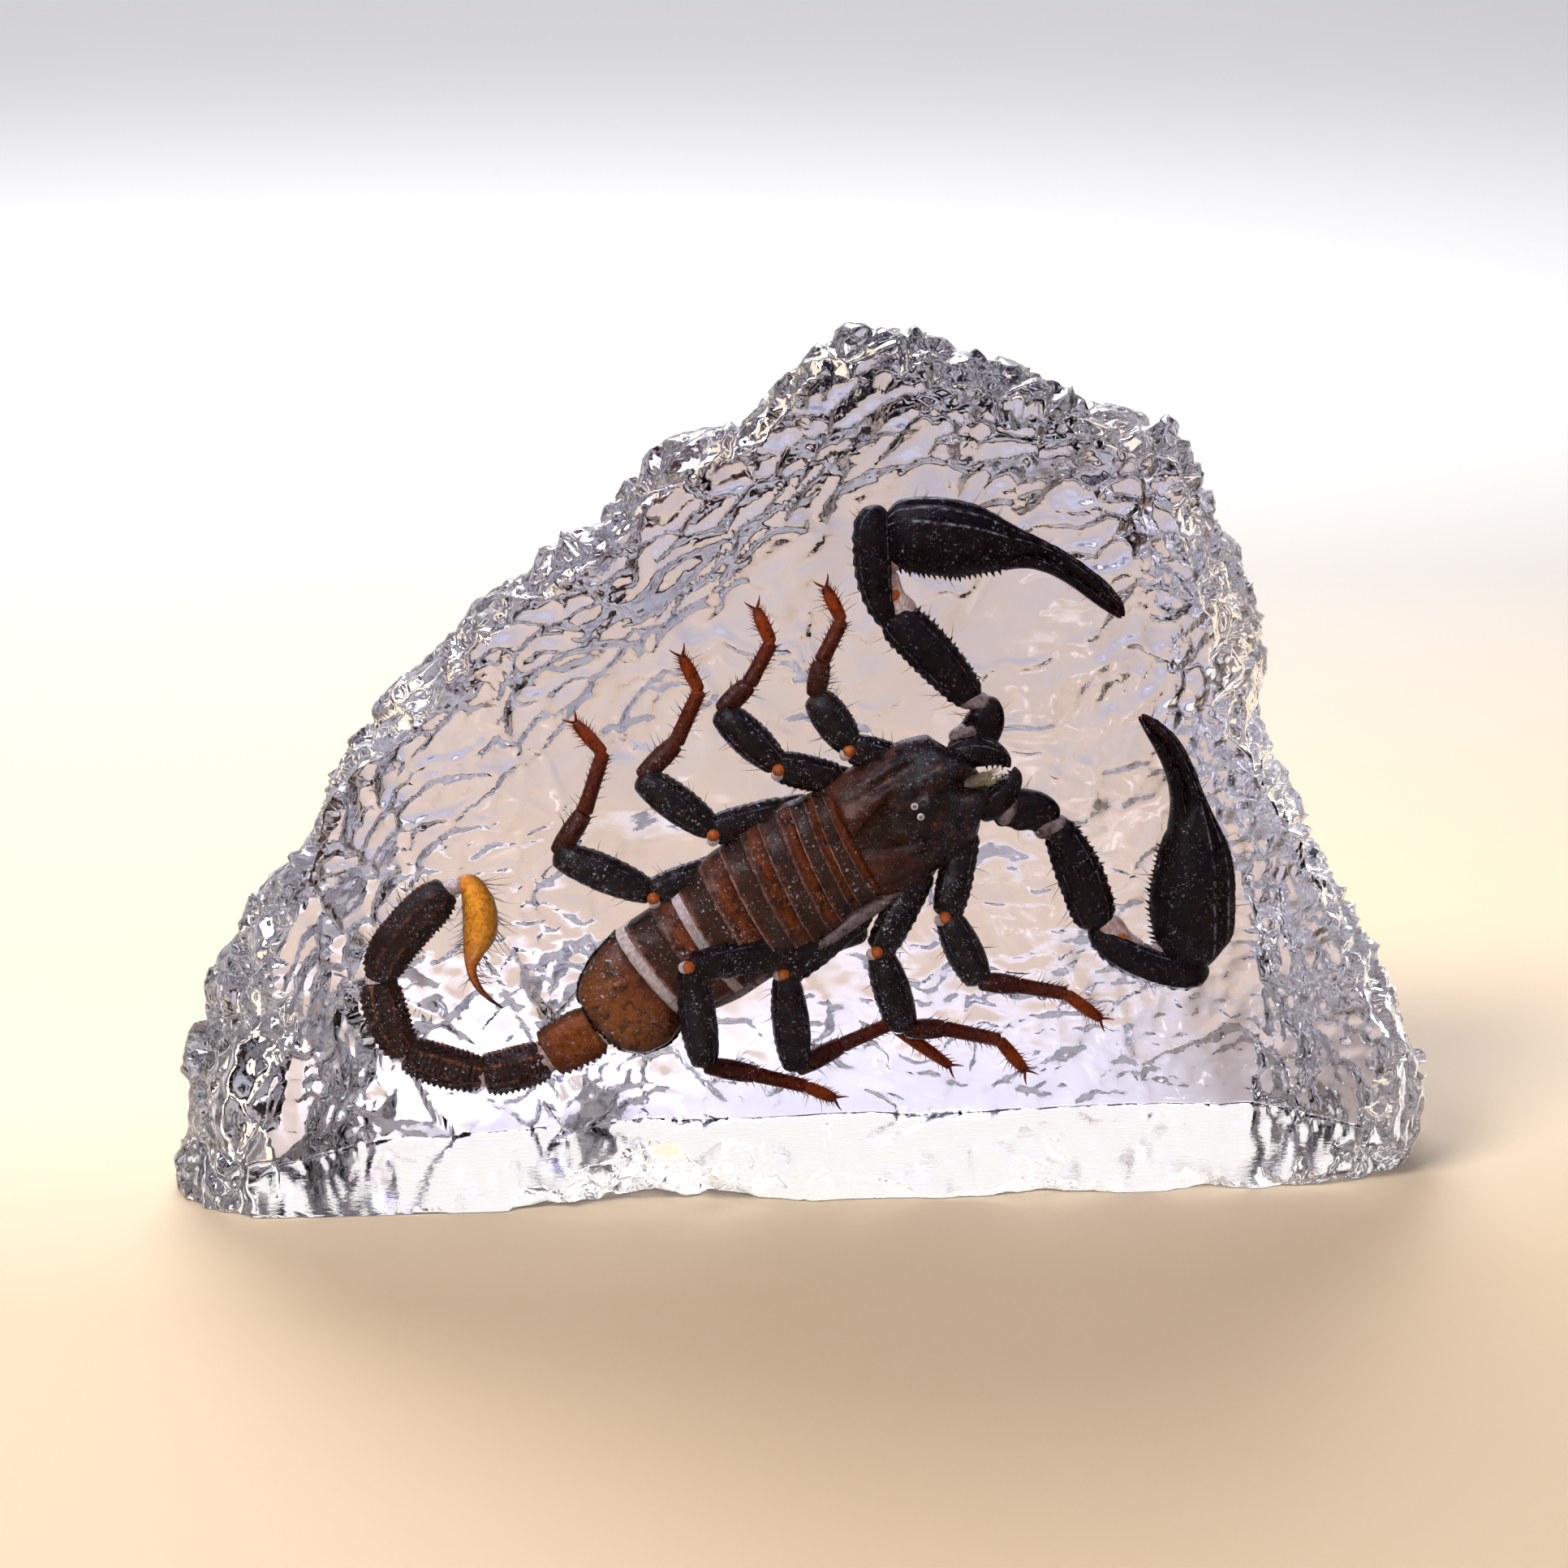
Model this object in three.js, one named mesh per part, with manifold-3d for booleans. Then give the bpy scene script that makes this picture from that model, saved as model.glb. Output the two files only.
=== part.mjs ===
// A whole dried scorpion cast in a block of clear resin. The block is rough and lumpy like broken
// ice, with one face polished flat, and the scorpion lies just behind that face.
//
// Frame: millimetres, +Z up, +X to the right when looking at the polished face, which faces -Y.
// The origin is on the surface the block stands on, under the middle of the block.
//
// Pieces: resin_front and resin_back are the clear block, parted in the plane in which the scorpion
// lies, each with its half of the pocket that holds it. scorpion is the specimen, in one piece.

import * as THREE from 'three';
import { mergeVertices } from 'three/addons/utils/BufferGeometryUtils.js';
import Module from 'manifold-3d';

const wasm = await Module();
wasm.setup();

// ---- driving dimensions of the block ----------------------------------------------------------

const FACE_Y = -23; // polished face
const BACK_Y = 22.4; // back of the block at the surface it stands on, before its lumps
const BACK_LEAN = 0.285; // depth that the back loses for each millimetre of height
const BLOCK_COLUMNS = 84; // columns of the surface around the block
const BLOCK_MIDDLE = [0, 34]; // x and z that the columns fan out from
const CUTTER = 200; // side of the cubes that cut flat faces

// The rim, where the block is widest: x, z, y, and how wide the back bevel is there.
const RIM = [
  [-71.2, 0.0, -13, 8], [-70.6, 5.0, -12, 9], [-70.3, 13.5, -12, 10], [-67.6, 21.6, -12, 10],
  [-64.0, 28.8, -12, 11], [-59.2, 37.3, -13, 11], [-55.4, 41.0, -14, 11], [-51.0, 49.9, -15, 12],
  [-43.2, 60.1, -16, 12], [-39.2, 64.9, -17, 12], [-35.2, 66.6, -18, 12], [-25.0, 75.4, -19, 13],
  [-22.6, 79.0, -19, 13], [-16.4, 85.0, -19, 13], [-11.5, 87.7, -19, 12], [-6.2, 88.7, -19, 12],
  [-3.6, 93.3, -19, 12], [3.5, 96.1, -19, 12], [10.0, 97.0, -19, 12], [19.0, 95.4, -19, 12],
  [26.0, 91.2, -19, 12], [39.2, 86.9, -19, 11], [41.6, 81.7, -19, 10], [46.2, 74.0, -17, 10],
  [50.6, 61.0, -16, 9], [50.9, 48.5, -16, 9], [56.4, 39.6, -15, 9], [62.3, 27.8, -15, 9],
  [66.4, 20.2, -15, 8], [71.3, 9.0, -15, 8], [71.7, 4.0, -15, 8], [67.4, -1.5, -16, 5],
  [62.4, -1.5, -18, 3], [54.5, -1.5, -23, 3], [48.0, -1.5, -20, 3], [40.5, -1.5, -23, 3],
  [28.1, -1.5, -18, 3], [20.0, -1.5, -22, 3], [-2.0, -1.5, -22, 3], [-9.0, -1.5, -15, 3],
  [-21.5, -1.5, -12, 3], [-27.5, -1.5, -15, 3], [-35.0, -1.5, -22, 3], [-55.0, -1.5, -23, 3],
  [-66.0, -1.0, -19, 5],
];

// The edge of the polished face: x and z.
const POLISHED = [
  [-59.5, 1.0], [-60.6, 14.0], [-56.5, 23.0], [-58.6, 29.6], [-55.8, 39.6], [-50.9, 50.5],
  [-45.0, 54.6], [-38.0, 62.0], [-30.0, 67.8], [-21.4, 76.2], [-15.0, 82.3], [-6.6, 85.8],
  [-2.4, 91.4], [4.0, 93.4], [12.0, 93.6], [19.0, 91.6], [27.0, 87.6], [37.0, 83.8],
  [39.6, 77.0], [43.2, 66.8], [44.2, 54.0], [53.6, 42.0], [58.1, 32.0], [64.2, 16.5],
  [59.9, 7.0], [51.6, 4.3], [42.2, 5.6], [26.4, 9.0], [21.8, 5.2], [13.6, 1.2],
  [8.0, 7.6], [1.0, 10.8], [-8.0, 8.6], [-18.5, 7.4], [-32.2, 3.1], [-37.7, 0.3],
];

// Flat facets where the rough back has split away: a point on each and the way it faces.
const CLEAVED = [
  { at: [-50, 9, 12], facing: [-0.66, 0.72, 0.22] },
  { at: [-30, 13, 22], facing: [-0.2, 0.95, 0.26] },
  { at: [4, -7.5, 88], facing: [-0.25, 0.8, 0.54] },
  { at: [31, -13, 89.4], facing: [0.36, 0.12, 0.92] },
  { at: [59, 8, 24], facing: [0.76, 0.6, 0.24] },
];

// ---- driving dimensions of the scorpion -------------------------------------------------------

const SPECIMEN_X = -0.8; // the specimen's own drawing is shifted this far in the block
const PARTING_Y = -9; // depth of the plane in which it lies, and in which the block is parted
const SEAM = 0.3; // gap between the two halves of the block
const CLEARANCE = 0.4; // gap between the scorpion and its pocket
const JOINT_LAP = 0.5; // how far each limb joint runs into the next

// Body stations from the front of the back shield to the last back plate: x, z, half width, and
// how far the back and the belly stand out from the plane in which the scorpion lies.
const BODY = [
  [19.4, 46.2, 3.4, 2.2, 2.0], [17.0, 45.4, 6.4, 3.6, 2.6], [13.2, 43.6, 7.5, 4.2, 3.0],
  [9.4, 41.5, 7.9, 4.4, 3.2], [6.0, 39.6, 7.1, 4.1, 3.2], [5.6, 39.3, 6.9, 3.7, 3.2],
  [2.4, 37.2, 7.9, 4.5, 3.4], [2.0, 36.9, 7.7, 3.9, 3.4], [-1.4, 35.0, 8.1, 4.7, 3.5],
  [-1.8, 34.7, 7.9, 4.1, 3.5], [-5.1, 32.7, 7.9, 4.7, 3.5], [-5.5, 32.4, 7.7, 4.1, 3.5],
  [-10.1, 28.9, 7.2, 4.5, 3.3], [-10.6, 28.5, 6.9, 3.9, 3.3], [-15.9, 25.0, 6.8, 4.2, 3.1],
  [-16.6, 24.5, 6.4, 3.6, 3.0], [-20.4, 20.9, 5.6, 3.8, 2.8], [-22.8, 18.6, 3.4, 2.8, 2.2],
];

const SHIELD_STATIONS = 4; // how many of them are on the back shield, before the first step

// Stations of the other pieces: x, z, half width, half depth, and the rise towards the face.
const SHIELD_LOBES = [
  [[13.0, 47.2, 3.2, 3.2, 0.6], [17.6, 49.2, 2.6, 2.8, 0.6], [19.2, 50.0, 1.5, 1.6, 0.5]],
  [[15.6, 42.0, 3.2, 3.2, 0.6], [20.6, 43.9, 2.6, 2.8, 0.6], [22.4, 44.5, 1.5, 1.6, 0.5]],
];
const JAWS = [
  [[17.0, 47.4, 2.0, 2.0, 0.2], [21.4, 48.2, 1.9, 1.8, 0.2], [23.9, 48.4, 0.8, 0.8, 0.2]],
  [[18.6, 45.0, 2.0, 2.0, 0.2], [22.6, 46.0, 1.8, 1.8, 0.2], [24.7, 46.0, 0.8, 0.8, 0.2]],
];
const TAIL = [
  [[-21.8, 19.2, 2.9, 2.4, 0], [-23.6, 18.3, 3.0, 2.5, 0], [-28.7, 15.5, 2.8, 2.4, 0]],
  [[-28.0, 15.1, 1.9, 1.9, 0], [-30.2, 14.4, 2.3, 2.2, 0], [-36.0, 13.3, 2.3, 2.2, 0]],
  [[-35.4, 13.2, 1.8, 1.8, 0], [-37.8, 13.7, 2.1, 2.1, 0], [-44.6, 16.1, 2.0, 2.0, 0]],
  [[-44.0, 15.6, 1.6, 1.7, 0], [-45.6, 17.8, 2.0, 2.0, 0], [-47.4, 24.6, 2.1, 2.0, 0]],
  [[-47.3, 24.2, 1.6, 1.7, 0], [-46.7, 27.0, 2.2, 2.0, 0], [-43.5, 31.4, 2.4, 2.0, 0],
    [-39.3, 35.2, 1.7, 1.6, 0]],
];
const STING = [
  [-39.4, 34.9, 1.0, 1.0, 0], [-37.3, 35.6, 1.1, 1.1, 0], [-36.3, 33.8, 1.8, 1.7, 0],
  [-36.0, 31.7, 2.0, 1.9, 0], [-36.2, 29.6, 1.8, 1.6, 0], [-36.8, 27.7, 1.2, 1.1, 0],
  [-37.1, 25.6, 0.7, 0.7, 0], [-36.3, 23.5, 0.5, 0.5, 0], [-33.7, 21.0, 0.25, 0.25, 0],
];
const ARMS = [
  { // the arm that reaches over the top
    trochanter: [[17.6, 49.8, 2.2, 2.0, -0.6], [20.4, 51.8, 2.4, 2.2, -0.6],
      [20.3, 55.0, 2.0, 2.0, 0]],
    femur: [[19.6, 55.4, 1.8, 2.0, 0], [17.2, 58.4, 2.5, 2.4, 0], [13.4, 62.4, 2.9, 2.5, 0],
      [10.6, 64.6, 1.5, 1.8, 0]],
    patella: [[10.0, 64.0, 1.0, 1.5, 0], [8.4, 68.4, 1.7, 2.2, 0], [8.0, 73.6, 2.4, 2.6, 0],
      [8.2, 77.6, 1.7, 2.0, 0]],
    hand: [[8.6, 76.2, 1.6, 2.0, 0], [10.8, 75.0, 3.6, 2.8, 0], [14.7, 74.3, 4.2, 3.4, 0],
      [18.6, 73.8, 4.0, 3.2, 0], [22.4, 73.0, 2.8, 2.2, 0], [28.4, 71.2, 1.4, 1.3, 0],
      [33.6, 67.6, 1.1, 1.0, 0], [36.1, 65.0, 0.4, 0.4, 0]],
  },
  { // the arm that reaches along the right side
    trochanter: [[22.0, 43.2, 2.2, 2.0, -0.6], [25.6, 42.4, 2.4, 2.2, -0.4],
      [29.0, 41.0, 1.7, 1.8, 0]],
    femur: [[28.6, 41.8, 1.4, 1.7, 0], [30.6, 37.6, 2.3, 2.3, 0], [32.7, 32.9, 2.8, 2.5, 0],
      [33.5, 28.6, 1.3, 1.7, 0]],
    patella: [[33.0, 29.0, 0.9, 1.5, 0], [35.8, 26.4, 1.7, 2.1, 0], [41.0, 24.0, 1.9, 2.5, 0],
      [46.6, 23.4, 1.4, 2.0, 0]],
    hand: [[46.6, 23.8, 2.4, 2.2, 0], [45.1, 27.2, 4.3, 3.0, 0], [44.7, 31.4, 4.8, 3.5, 0],
      [44.8, 36.2, 4.2, 3.2, 0], [44.6, 40.6, 3.0, 2.3, 0], [43.4, 46.0, 1.7, 1.5, 0],
      [41.0, 50.6, 1.2, 1.1, 0], [38.1, 53.8, 0.4, 0.4, 0]],
  },
];

// Each walking leg as its joints from hip to claw: x, z and the rise towards the face.
const LEGS = [
  [[13.6, 47.6, -1], [5.7, 50.6, 0.6], [1.7, 56.5, 0.4], [2.4, 60.4, 0], [4.7, 65.0, -0.4],
    [2.9, 68.7, -0.6]],
  [[4.4, 46.6, -1], [-2.5, 48.7, 0.6], [-8.9, 55.0, 0.4], [-5.7, 58.0, 0], [-3.2, 62.6, -0.4],
    [-4.8, 66.4, -0.6]],
  [[-1.4, 43.0, -1.6], [-9.8, 41.3, 0.4], [-17.8, 47.6, 0.4], [-13.9, 51.4, 0],
    [-11.2, 57.3, -0.4], [-13.1, 61.2, -0.6]],
  [[-8.4, 36.6, -1.6], [-16.7, 34.1, 0.4], [-27.3, 39.0, 0.4], [-24.2, 43.6, 0],
    [-22.0, 50.4, -0.4], [-25.0, 53.9, -0.6]],
  [[18.8, 40.4, -1], [16.7, 30.8, 0.6], [20.5, 22.8, 0.6], [25.0, 22.1, 0.2],
    [30.5, 20.9, -0.2], [34.6, 17.7, -0.4]],
  [[14.0, 36.0, -1], [9.0, 26.8, 0.6], [12.0, 17.3, 0.6], [16.5, 17.2, 0.2],
    [22.9, 15.6, 0], [26.0, 11.7, -0.4]],
  [[7.6, 31.6, -1], [-1.7, 24.5, 1.2], [-0.4, 13.0, 0.8], [4.9, 15.2, -1.4],
    [10.5, 17.4, -2.2], [17.4, 12.3, -1.6]],
  [[2.6, 28.0, 0.6], [-12.6, 26.4, 5.4], [-10.9, 14.2, 3.0], [-5.1, 12.6, 1.6],
    [0.7, 10.8, 0.6], [4.0, 9.1, 0]],
];

// Half widths along a walking leg: the two thick joints at their near end, middle and far end, and
// the slim foot at each of its joints.
const THIGH_GIRTH = [1.4, 2.0, 1.5];
const SHIN_GIRTH = [1.2, 2.1, 1.3];
const FOOT_GIRTH = [1.0, 1.1, 0.8, 0.4];

// ---- materials --------------------------------------------------------------------------------

const clearResin = new THREE.MeshStandardMaterial({
  color: 0xdcdcec, roughness: 0.06, metalness: 0, transparent: true, opacity: 0.35,
});
const blackShell = new THREE.MeshStandardMaterial({ color: 0x24140f, roughness: 0.3, metalness: 0 });

// ---- from three.js geometry to solids and back ------------------------------------------------

function solidOf(geometry) {
  const bare = geometry.clone();
  bare.deleteAttribute('normal');
  bare.deleteAttribute('uv');
  const closed = mergeVertices(bare, 1e-4);
  return new wasm.Manifold(new wasm.Mesh({
    numProp: 3,
    vertProperties: new Float32Array(closed.attributes.position.array),
    triVerts: new Uint32Array(closed.index.array),
  }));
}

function geometryOf(solid) {
  const { vertProperties, triVerts } = solid.getMesh();
  const geometry = new THREE.BufferGeometry();
  geometry.setAttribute('position', new THREE.BufferAttribute(vertProperties, 3));
  geometry.setIndex(new THREE.BufferAttribute(triVerts, 1));
  return geometry.toNonIndexed();
}

function join(solids) {
  return solids.reduce((whole, solid) => whole.add(solid));
}

// A cube with one side in the plane through a point, lying wholly on the side that is faced.
function halfSpace(at, facing) {
  const cube = new THREE.BoxGeometry(CUTTER, CUTTER, CUTTER);
  const way = new THREE.Vector3(...facing).normalize();
  cube.translate(0, 0, CUTTER / 2);
  cube.applyQuaternion(new THREE.Quaternion().setFromUnitVectors(new THREE.Vector3(0, 0, 1), way));
  cube.translate(...at);
  return solidOf(cube);
}

// A cylinder of unit size whose every vertex is moved: place(row, turn, radius) gives the new spot
// of a vertex in the given row, turn from 0 to 1 around it. radius is 0 at the middle of an end.
function warpedCylinder(sides, rows, place) {
  const cylinder = new THREE.CylinderGeometry(1, 1, 1, sides, rows - 1);
  const { position } = cylinder.attributes;
  for (let i = 0; i < position.count; i += 1) {
    const [x, y, z] = [position.getX(i), position.getY(i), position.getZ(i)];
    const row = Math.round((0.5 - y) * (rows - 1));
    const turn = (Math.atan2(x, z) / (2 * Math.PI) + 1) % 1;
    position.setXYZ(i, ...place(row, Math.round(turn * sides) % sides, Math.hypot(x, z)));
  }
  return cylinder;
}

// ---- the scorpion -----------------------------------------------------------------------------

// A closed tube with one oval ring at each station [x, z, half width, half depth, rise]. With room
// it is the plainer tube that holds it with that much room all round.
function tube(stations, sides, room) {
  const path = stations.map(([x, z]) => new THREE.Vector2(x, z));
  const last = path.length - 1;
  const corners = room > 0 ? Math.max(4, Math.ceil(0.6 * sides)) : sides;
  const swell = room > 0 ? 1 / Math.cos(Math.PI / corners) : 1;
  return solidOf(warpedCylinder(corners, stations.length, (row, side, radius) => {
    const [x, z, wide, deep, rise] = stations[row];
    const along = path[Math.min(row + 1, last)].clone().sub(path[Math.max(row - 1, 0)]).normalize();
    const stretch = row === 0 ? -room : row === last ? room : 0;
    const angle = (2 * Math.PI * (side + 0.5)) / corners;
    const across = radius * swell * (wide + room) * Math.sin(angle);
    const out = radius * swell * (deep + room) * Math.cos(angle);
    return [
      SPECIMEN_X + x + along.x * stretch - along.y * across,
      PARTING_Y - rise - out,
      z + along.y * stretch + along.x * across,
    ];
  }));
}

// The back shield and the seven back plates, each plate a low step behind the one before it. The
// space around them has no steps.
function body(room) {
  const stations = BODY.map(([x, z, wide, back, belly]) => [
    x, z, wide, (back + belly) / 2, (back - belly) / 2,
  ]);
  const last = stations.length - 1;
  const plain = stations.filter((_, i) => i < SHIELD_STATIONS || i % 2 === 0 || i === last);
  return tube(room > 0 ? plain : stations, 12, room);
}

// One thick joint of a walking leg, from one place on the leg to the next.
function legJoint(from, to, girth, room) {
  const start = new THREE.Vector3(...from);
  const end = new THREE.Vector3(...to);
  const lap = end.clone().sub(start).setLength(JOINT_LAP);
  const places = [start.clone().sub(lap), start.clone().lerp(end, 0.5), end.clone().add(lap)];
  return tube(places.map(({ x, y, z }, i) => [x, y, girth[i], girth[i], z]), 6, room);
}

function leg([hip, knee, ankle, ...toes], room) {
  const foot = [ankle, ...toes].map(([x, z, rise], i) => [x, z, FOOT_GIRTH[i], FOOT_GIRTH[i], rise]);
  return [legJoint(hip, knee, THIGH_GIRTH, room), legJoint(knee, ankle, SHIN_GIRTH, room),
    tube(foot, 5, room)];
}

function arm({ trochanter, femur, patella, hand }, room) {
  return [tube(trochanter, 6, room), tube(femur, 6, room), tube(patella, 6, room),
    tube(hand, 8, room)];
}

// The whole scorpion, or the space that holds it with some room all round.
function scorpionSolid(room) {
  return join([
    body(room),
    ...SHIELD_LOBES.map((lobe) => tube(lobe, 6, room)),
    ...JAWS.map((jaw) => tube(jaw, 5, room)),
    ...ARMS.flatMap((one) => arm(one, room)),
    ...LEGS.flatMap((places) => leg(places, room)),
    ...TAIL.map((ring) => tube(ring, 7, room)),
    tube(STING, 6, room),
  ]);
}

// ---- the resin block --------------------------------------------------------------------------

// Smooth lumps between about -1 and 1, each about as wide as size.
function lumps(x, y, z, size) {
  const k = Math.PI / size;
  return (Math.sin(k * (x + 0.6 * z)) + Math.sin(k * (1.3 * y - 0.8 * x) + 1.7)
    + Math.sin(k * (1.1 * z + 0.7 * y) + 4.1)) / 3;
}

// Where the ray from the middle of the block at an angle leaves a closed outline: the numbers of
// the outline's points there, blended.
function outlineAt(outline, angle) {
  const [cx, cz] = BLOCK_MIDDLE;
  const ray = [Math.cos(angle), Math.sin(angle)];
  for (let i = 0; i < outline.length; i += 1) {
    const a = outline[i];
    const b = outline[(i + 1) % outline.length];
    const sideA = ray[0] * (a[1] - cz) - ray[1] * (a[0] - cx);
    const sideB = ray[0] * (b[1] - cz) - ray[1] * (b[0] - cx);
    const share = sideA / (sideA - sideB);
    const point = a.map((value, n) => value + share * (b[n] - value));
    const ahead = ray[0] * (point[0] - cx) + ray[1] * (point[1] - cz) > 0;
    if (sideA * sideB <= 0 && share < 1 && ahead) return point;
  }
  throw new Error('the outline does not close around the middle of the block');
}

// Angles of the columns, evenly spaced along the rim, against the order of its points.
function columnAngles() {
  const rim = new THREE.CurvePath();
  RIM.forEach(([x, z], i) => {
    const [nextX, nextZ] = RIM[(i + 1) % RIM.length];
    rim.add(new THREE.LineCurve(new THREE.Vector2(x, z), new THREE.Vector2(nextX, nextZ)));
  });
  return Array.from({ length: BLOCK_COLUMNS }, (_, i) => {
    const point = rim.getPointAt(1 - i / BLOCK_COLUMNS);
    return Math.atan2(point.y - BLOCK_MIDDLE[1], point.x - BLOCK_MIDDLE[0]);
  });
}

function backY(z) {
  return BACK_Y - BACK_LEAN * z;
}

// One column of the surface, from the edge of the polished face over the rim to the middle of the
// back: [x, y, z] of each row, with how far its lumps stand out.
function column(angle) {
  const [faceX, faceZ] = outlineAt(POLISHED, angle);
  const [rimX, rimZ, rimY, bevel] = outlineAt(RIM, angle);
  const inward = (depth) => [rimX - depth * Math.cos(angle), rimZ - depth * Math.sin(angle)];
  const wallEnd = Math.max(backY(rimZ) - 0.9 * bevel, rimY + 3);
  const [lipX, lipZ] = inward(0.12 * bevel);
  const [bevelX, bevelZ] = inward(0.5 * bevel);
  const [innerX, innerZ] = inward(bevel);
  const reach = Math.hypot(innerX - BLOCK_MIDDLE[0], innerZ - BLOCK_MIDDLE[1]);
  const rows = [
    [faceX, FACE_Y, faceZ, 0],
    [(faceX + rimX) / 2, FACE_Y + 0.2 * (rimY - FACE_Y), (faceZ + rimZ) / 2, 0.6],
    [rimX, rimY, rimZ, 0.5],
    [rimX, (rimY + wallEnd) / 2, rimZ, 1.2],
    [lipX, wallEnd, lipZ, 1.7],
    [bevelX, 0.45 * wallEnd + 0.55 * backY(bevelZ), bevelZ, 1.9],
    [innerX, backY(innerZ), innerZ, 1.2],
  ];
  [0.7, 0.34].forEach((share) => {
    const x = BLOCK_MIDDLE[0] + share * reach * Math.cos(angle);
    const z = BLOCK_MIDDLE[1] + share * reach * Math.sin(angle);
    rows.push([x, backY(z), z, 0.6]);
  });
  return rows;
}

// The rough casting: columns of lumpy surface behind the polished face.
function roughBlock() {
  const columns = columnAngles().map(column);
  const rows = columns[0].length;
  const [middleX, middleZ] = BLOCK_MIDDLE;
  return warpedCylinder(BLOCK_COLUMNS, rows, (row, side, radius) => {
    if (radius < 0.5) return [middleX, row === 0 ? FACE_Y : backY(middleZ), middleZ];
    const [x, y, z, rough] = columns[side][row];
    const outward = new THREE.Vector3(x - middleX, row > 4 ? 40 : 0, z - middleZ).normalize();
    const lump = rough * (lumps(x, y, z, 13) + 0.7 * lumps(z, x, y, 6));
    return [x + lump * outward.x, y + lump * outward.y, z + lump * outward.z];
  });
}

function blockSolid() {
  const underside = halfSpace([0, 0, 0], [0, 0, -1]);
  const facets = CLEAVED.map(({ at, facing }) => halfSpace(at, facing));
  return [underside, ...facets].reduce((block, cut) => block.subtract(cut), solidOf(roughBlock()));
}

// ---- assembly ---------------------------------------------------------------------------------

const block = blockSolid().subtract(scorpionSolid(CLEARANCE));
const behindSeam = halfSpace([0, PARTING_Y - SEAM / 2, 0], [0, 1, 0]);
const beforeSeam = halfSpace([0, PARTING_Y + SEAM / 2, 0], [0, -1, 0]);

const pieces = [
  { name: 'resin_front', solid: block.subtract(behindSeam), material: clearResin },
  { name: 'resin_back', solid: block.subtract(beforeSeam), material: clearResin.clone() },
  { name: 'scorpion', solid: scorpionSolid(0), material: blackShell },
];

const scorpionInResin = new THREE.Group();
pieces.forEach(({ name, solid, material }) => {
  const mesh = new THREE.Mesh(geometryOf(solid), material);
  mesh.name = name;
  scorpionInResin.add(mesh);
});

export default scorpionInResin;
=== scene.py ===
"""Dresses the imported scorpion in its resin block: clear rough resin around a dried forest scorpion.

All lengths in the dataclasses are millimetres, and MM turns them into Blender's metres. +X is to
the right when looking at the polished face, which faces -Y, and +Z is up.
"""

import logging
import math
import random
from dataclasses import dataclass, field
from enum import Enum
from typing import Callable, Optional, Sequence

import bmesh
import bpy
import numpy as np
from mathutils import Matrix, Vector, noise
from mathutils.bvhtree import BVHTree


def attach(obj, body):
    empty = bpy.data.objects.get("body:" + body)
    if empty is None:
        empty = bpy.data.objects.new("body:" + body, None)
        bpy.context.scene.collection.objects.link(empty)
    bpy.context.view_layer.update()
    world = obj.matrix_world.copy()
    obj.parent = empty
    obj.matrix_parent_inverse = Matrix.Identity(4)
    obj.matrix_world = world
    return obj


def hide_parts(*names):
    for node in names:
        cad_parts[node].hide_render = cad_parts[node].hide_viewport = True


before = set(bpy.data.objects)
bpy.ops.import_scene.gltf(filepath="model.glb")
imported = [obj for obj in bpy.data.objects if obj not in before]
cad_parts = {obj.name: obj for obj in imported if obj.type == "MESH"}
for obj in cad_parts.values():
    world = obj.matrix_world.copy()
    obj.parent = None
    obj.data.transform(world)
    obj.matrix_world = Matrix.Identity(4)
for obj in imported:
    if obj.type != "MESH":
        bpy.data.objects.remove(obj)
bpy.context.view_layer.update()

MM = 0.001
BODY = "root"

log = logging.getLogger("scorpion_block")

Colour = tuple[float, float, float]
Place = Callable[[float, float], Vector]


# ---- shared tools -------------------------------------------------------------------------------


class Slot(Enum):
    """The record's material slots."""

    RESIN = "clear_resin"
    SHELL = "scorpion_shell"


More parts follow.
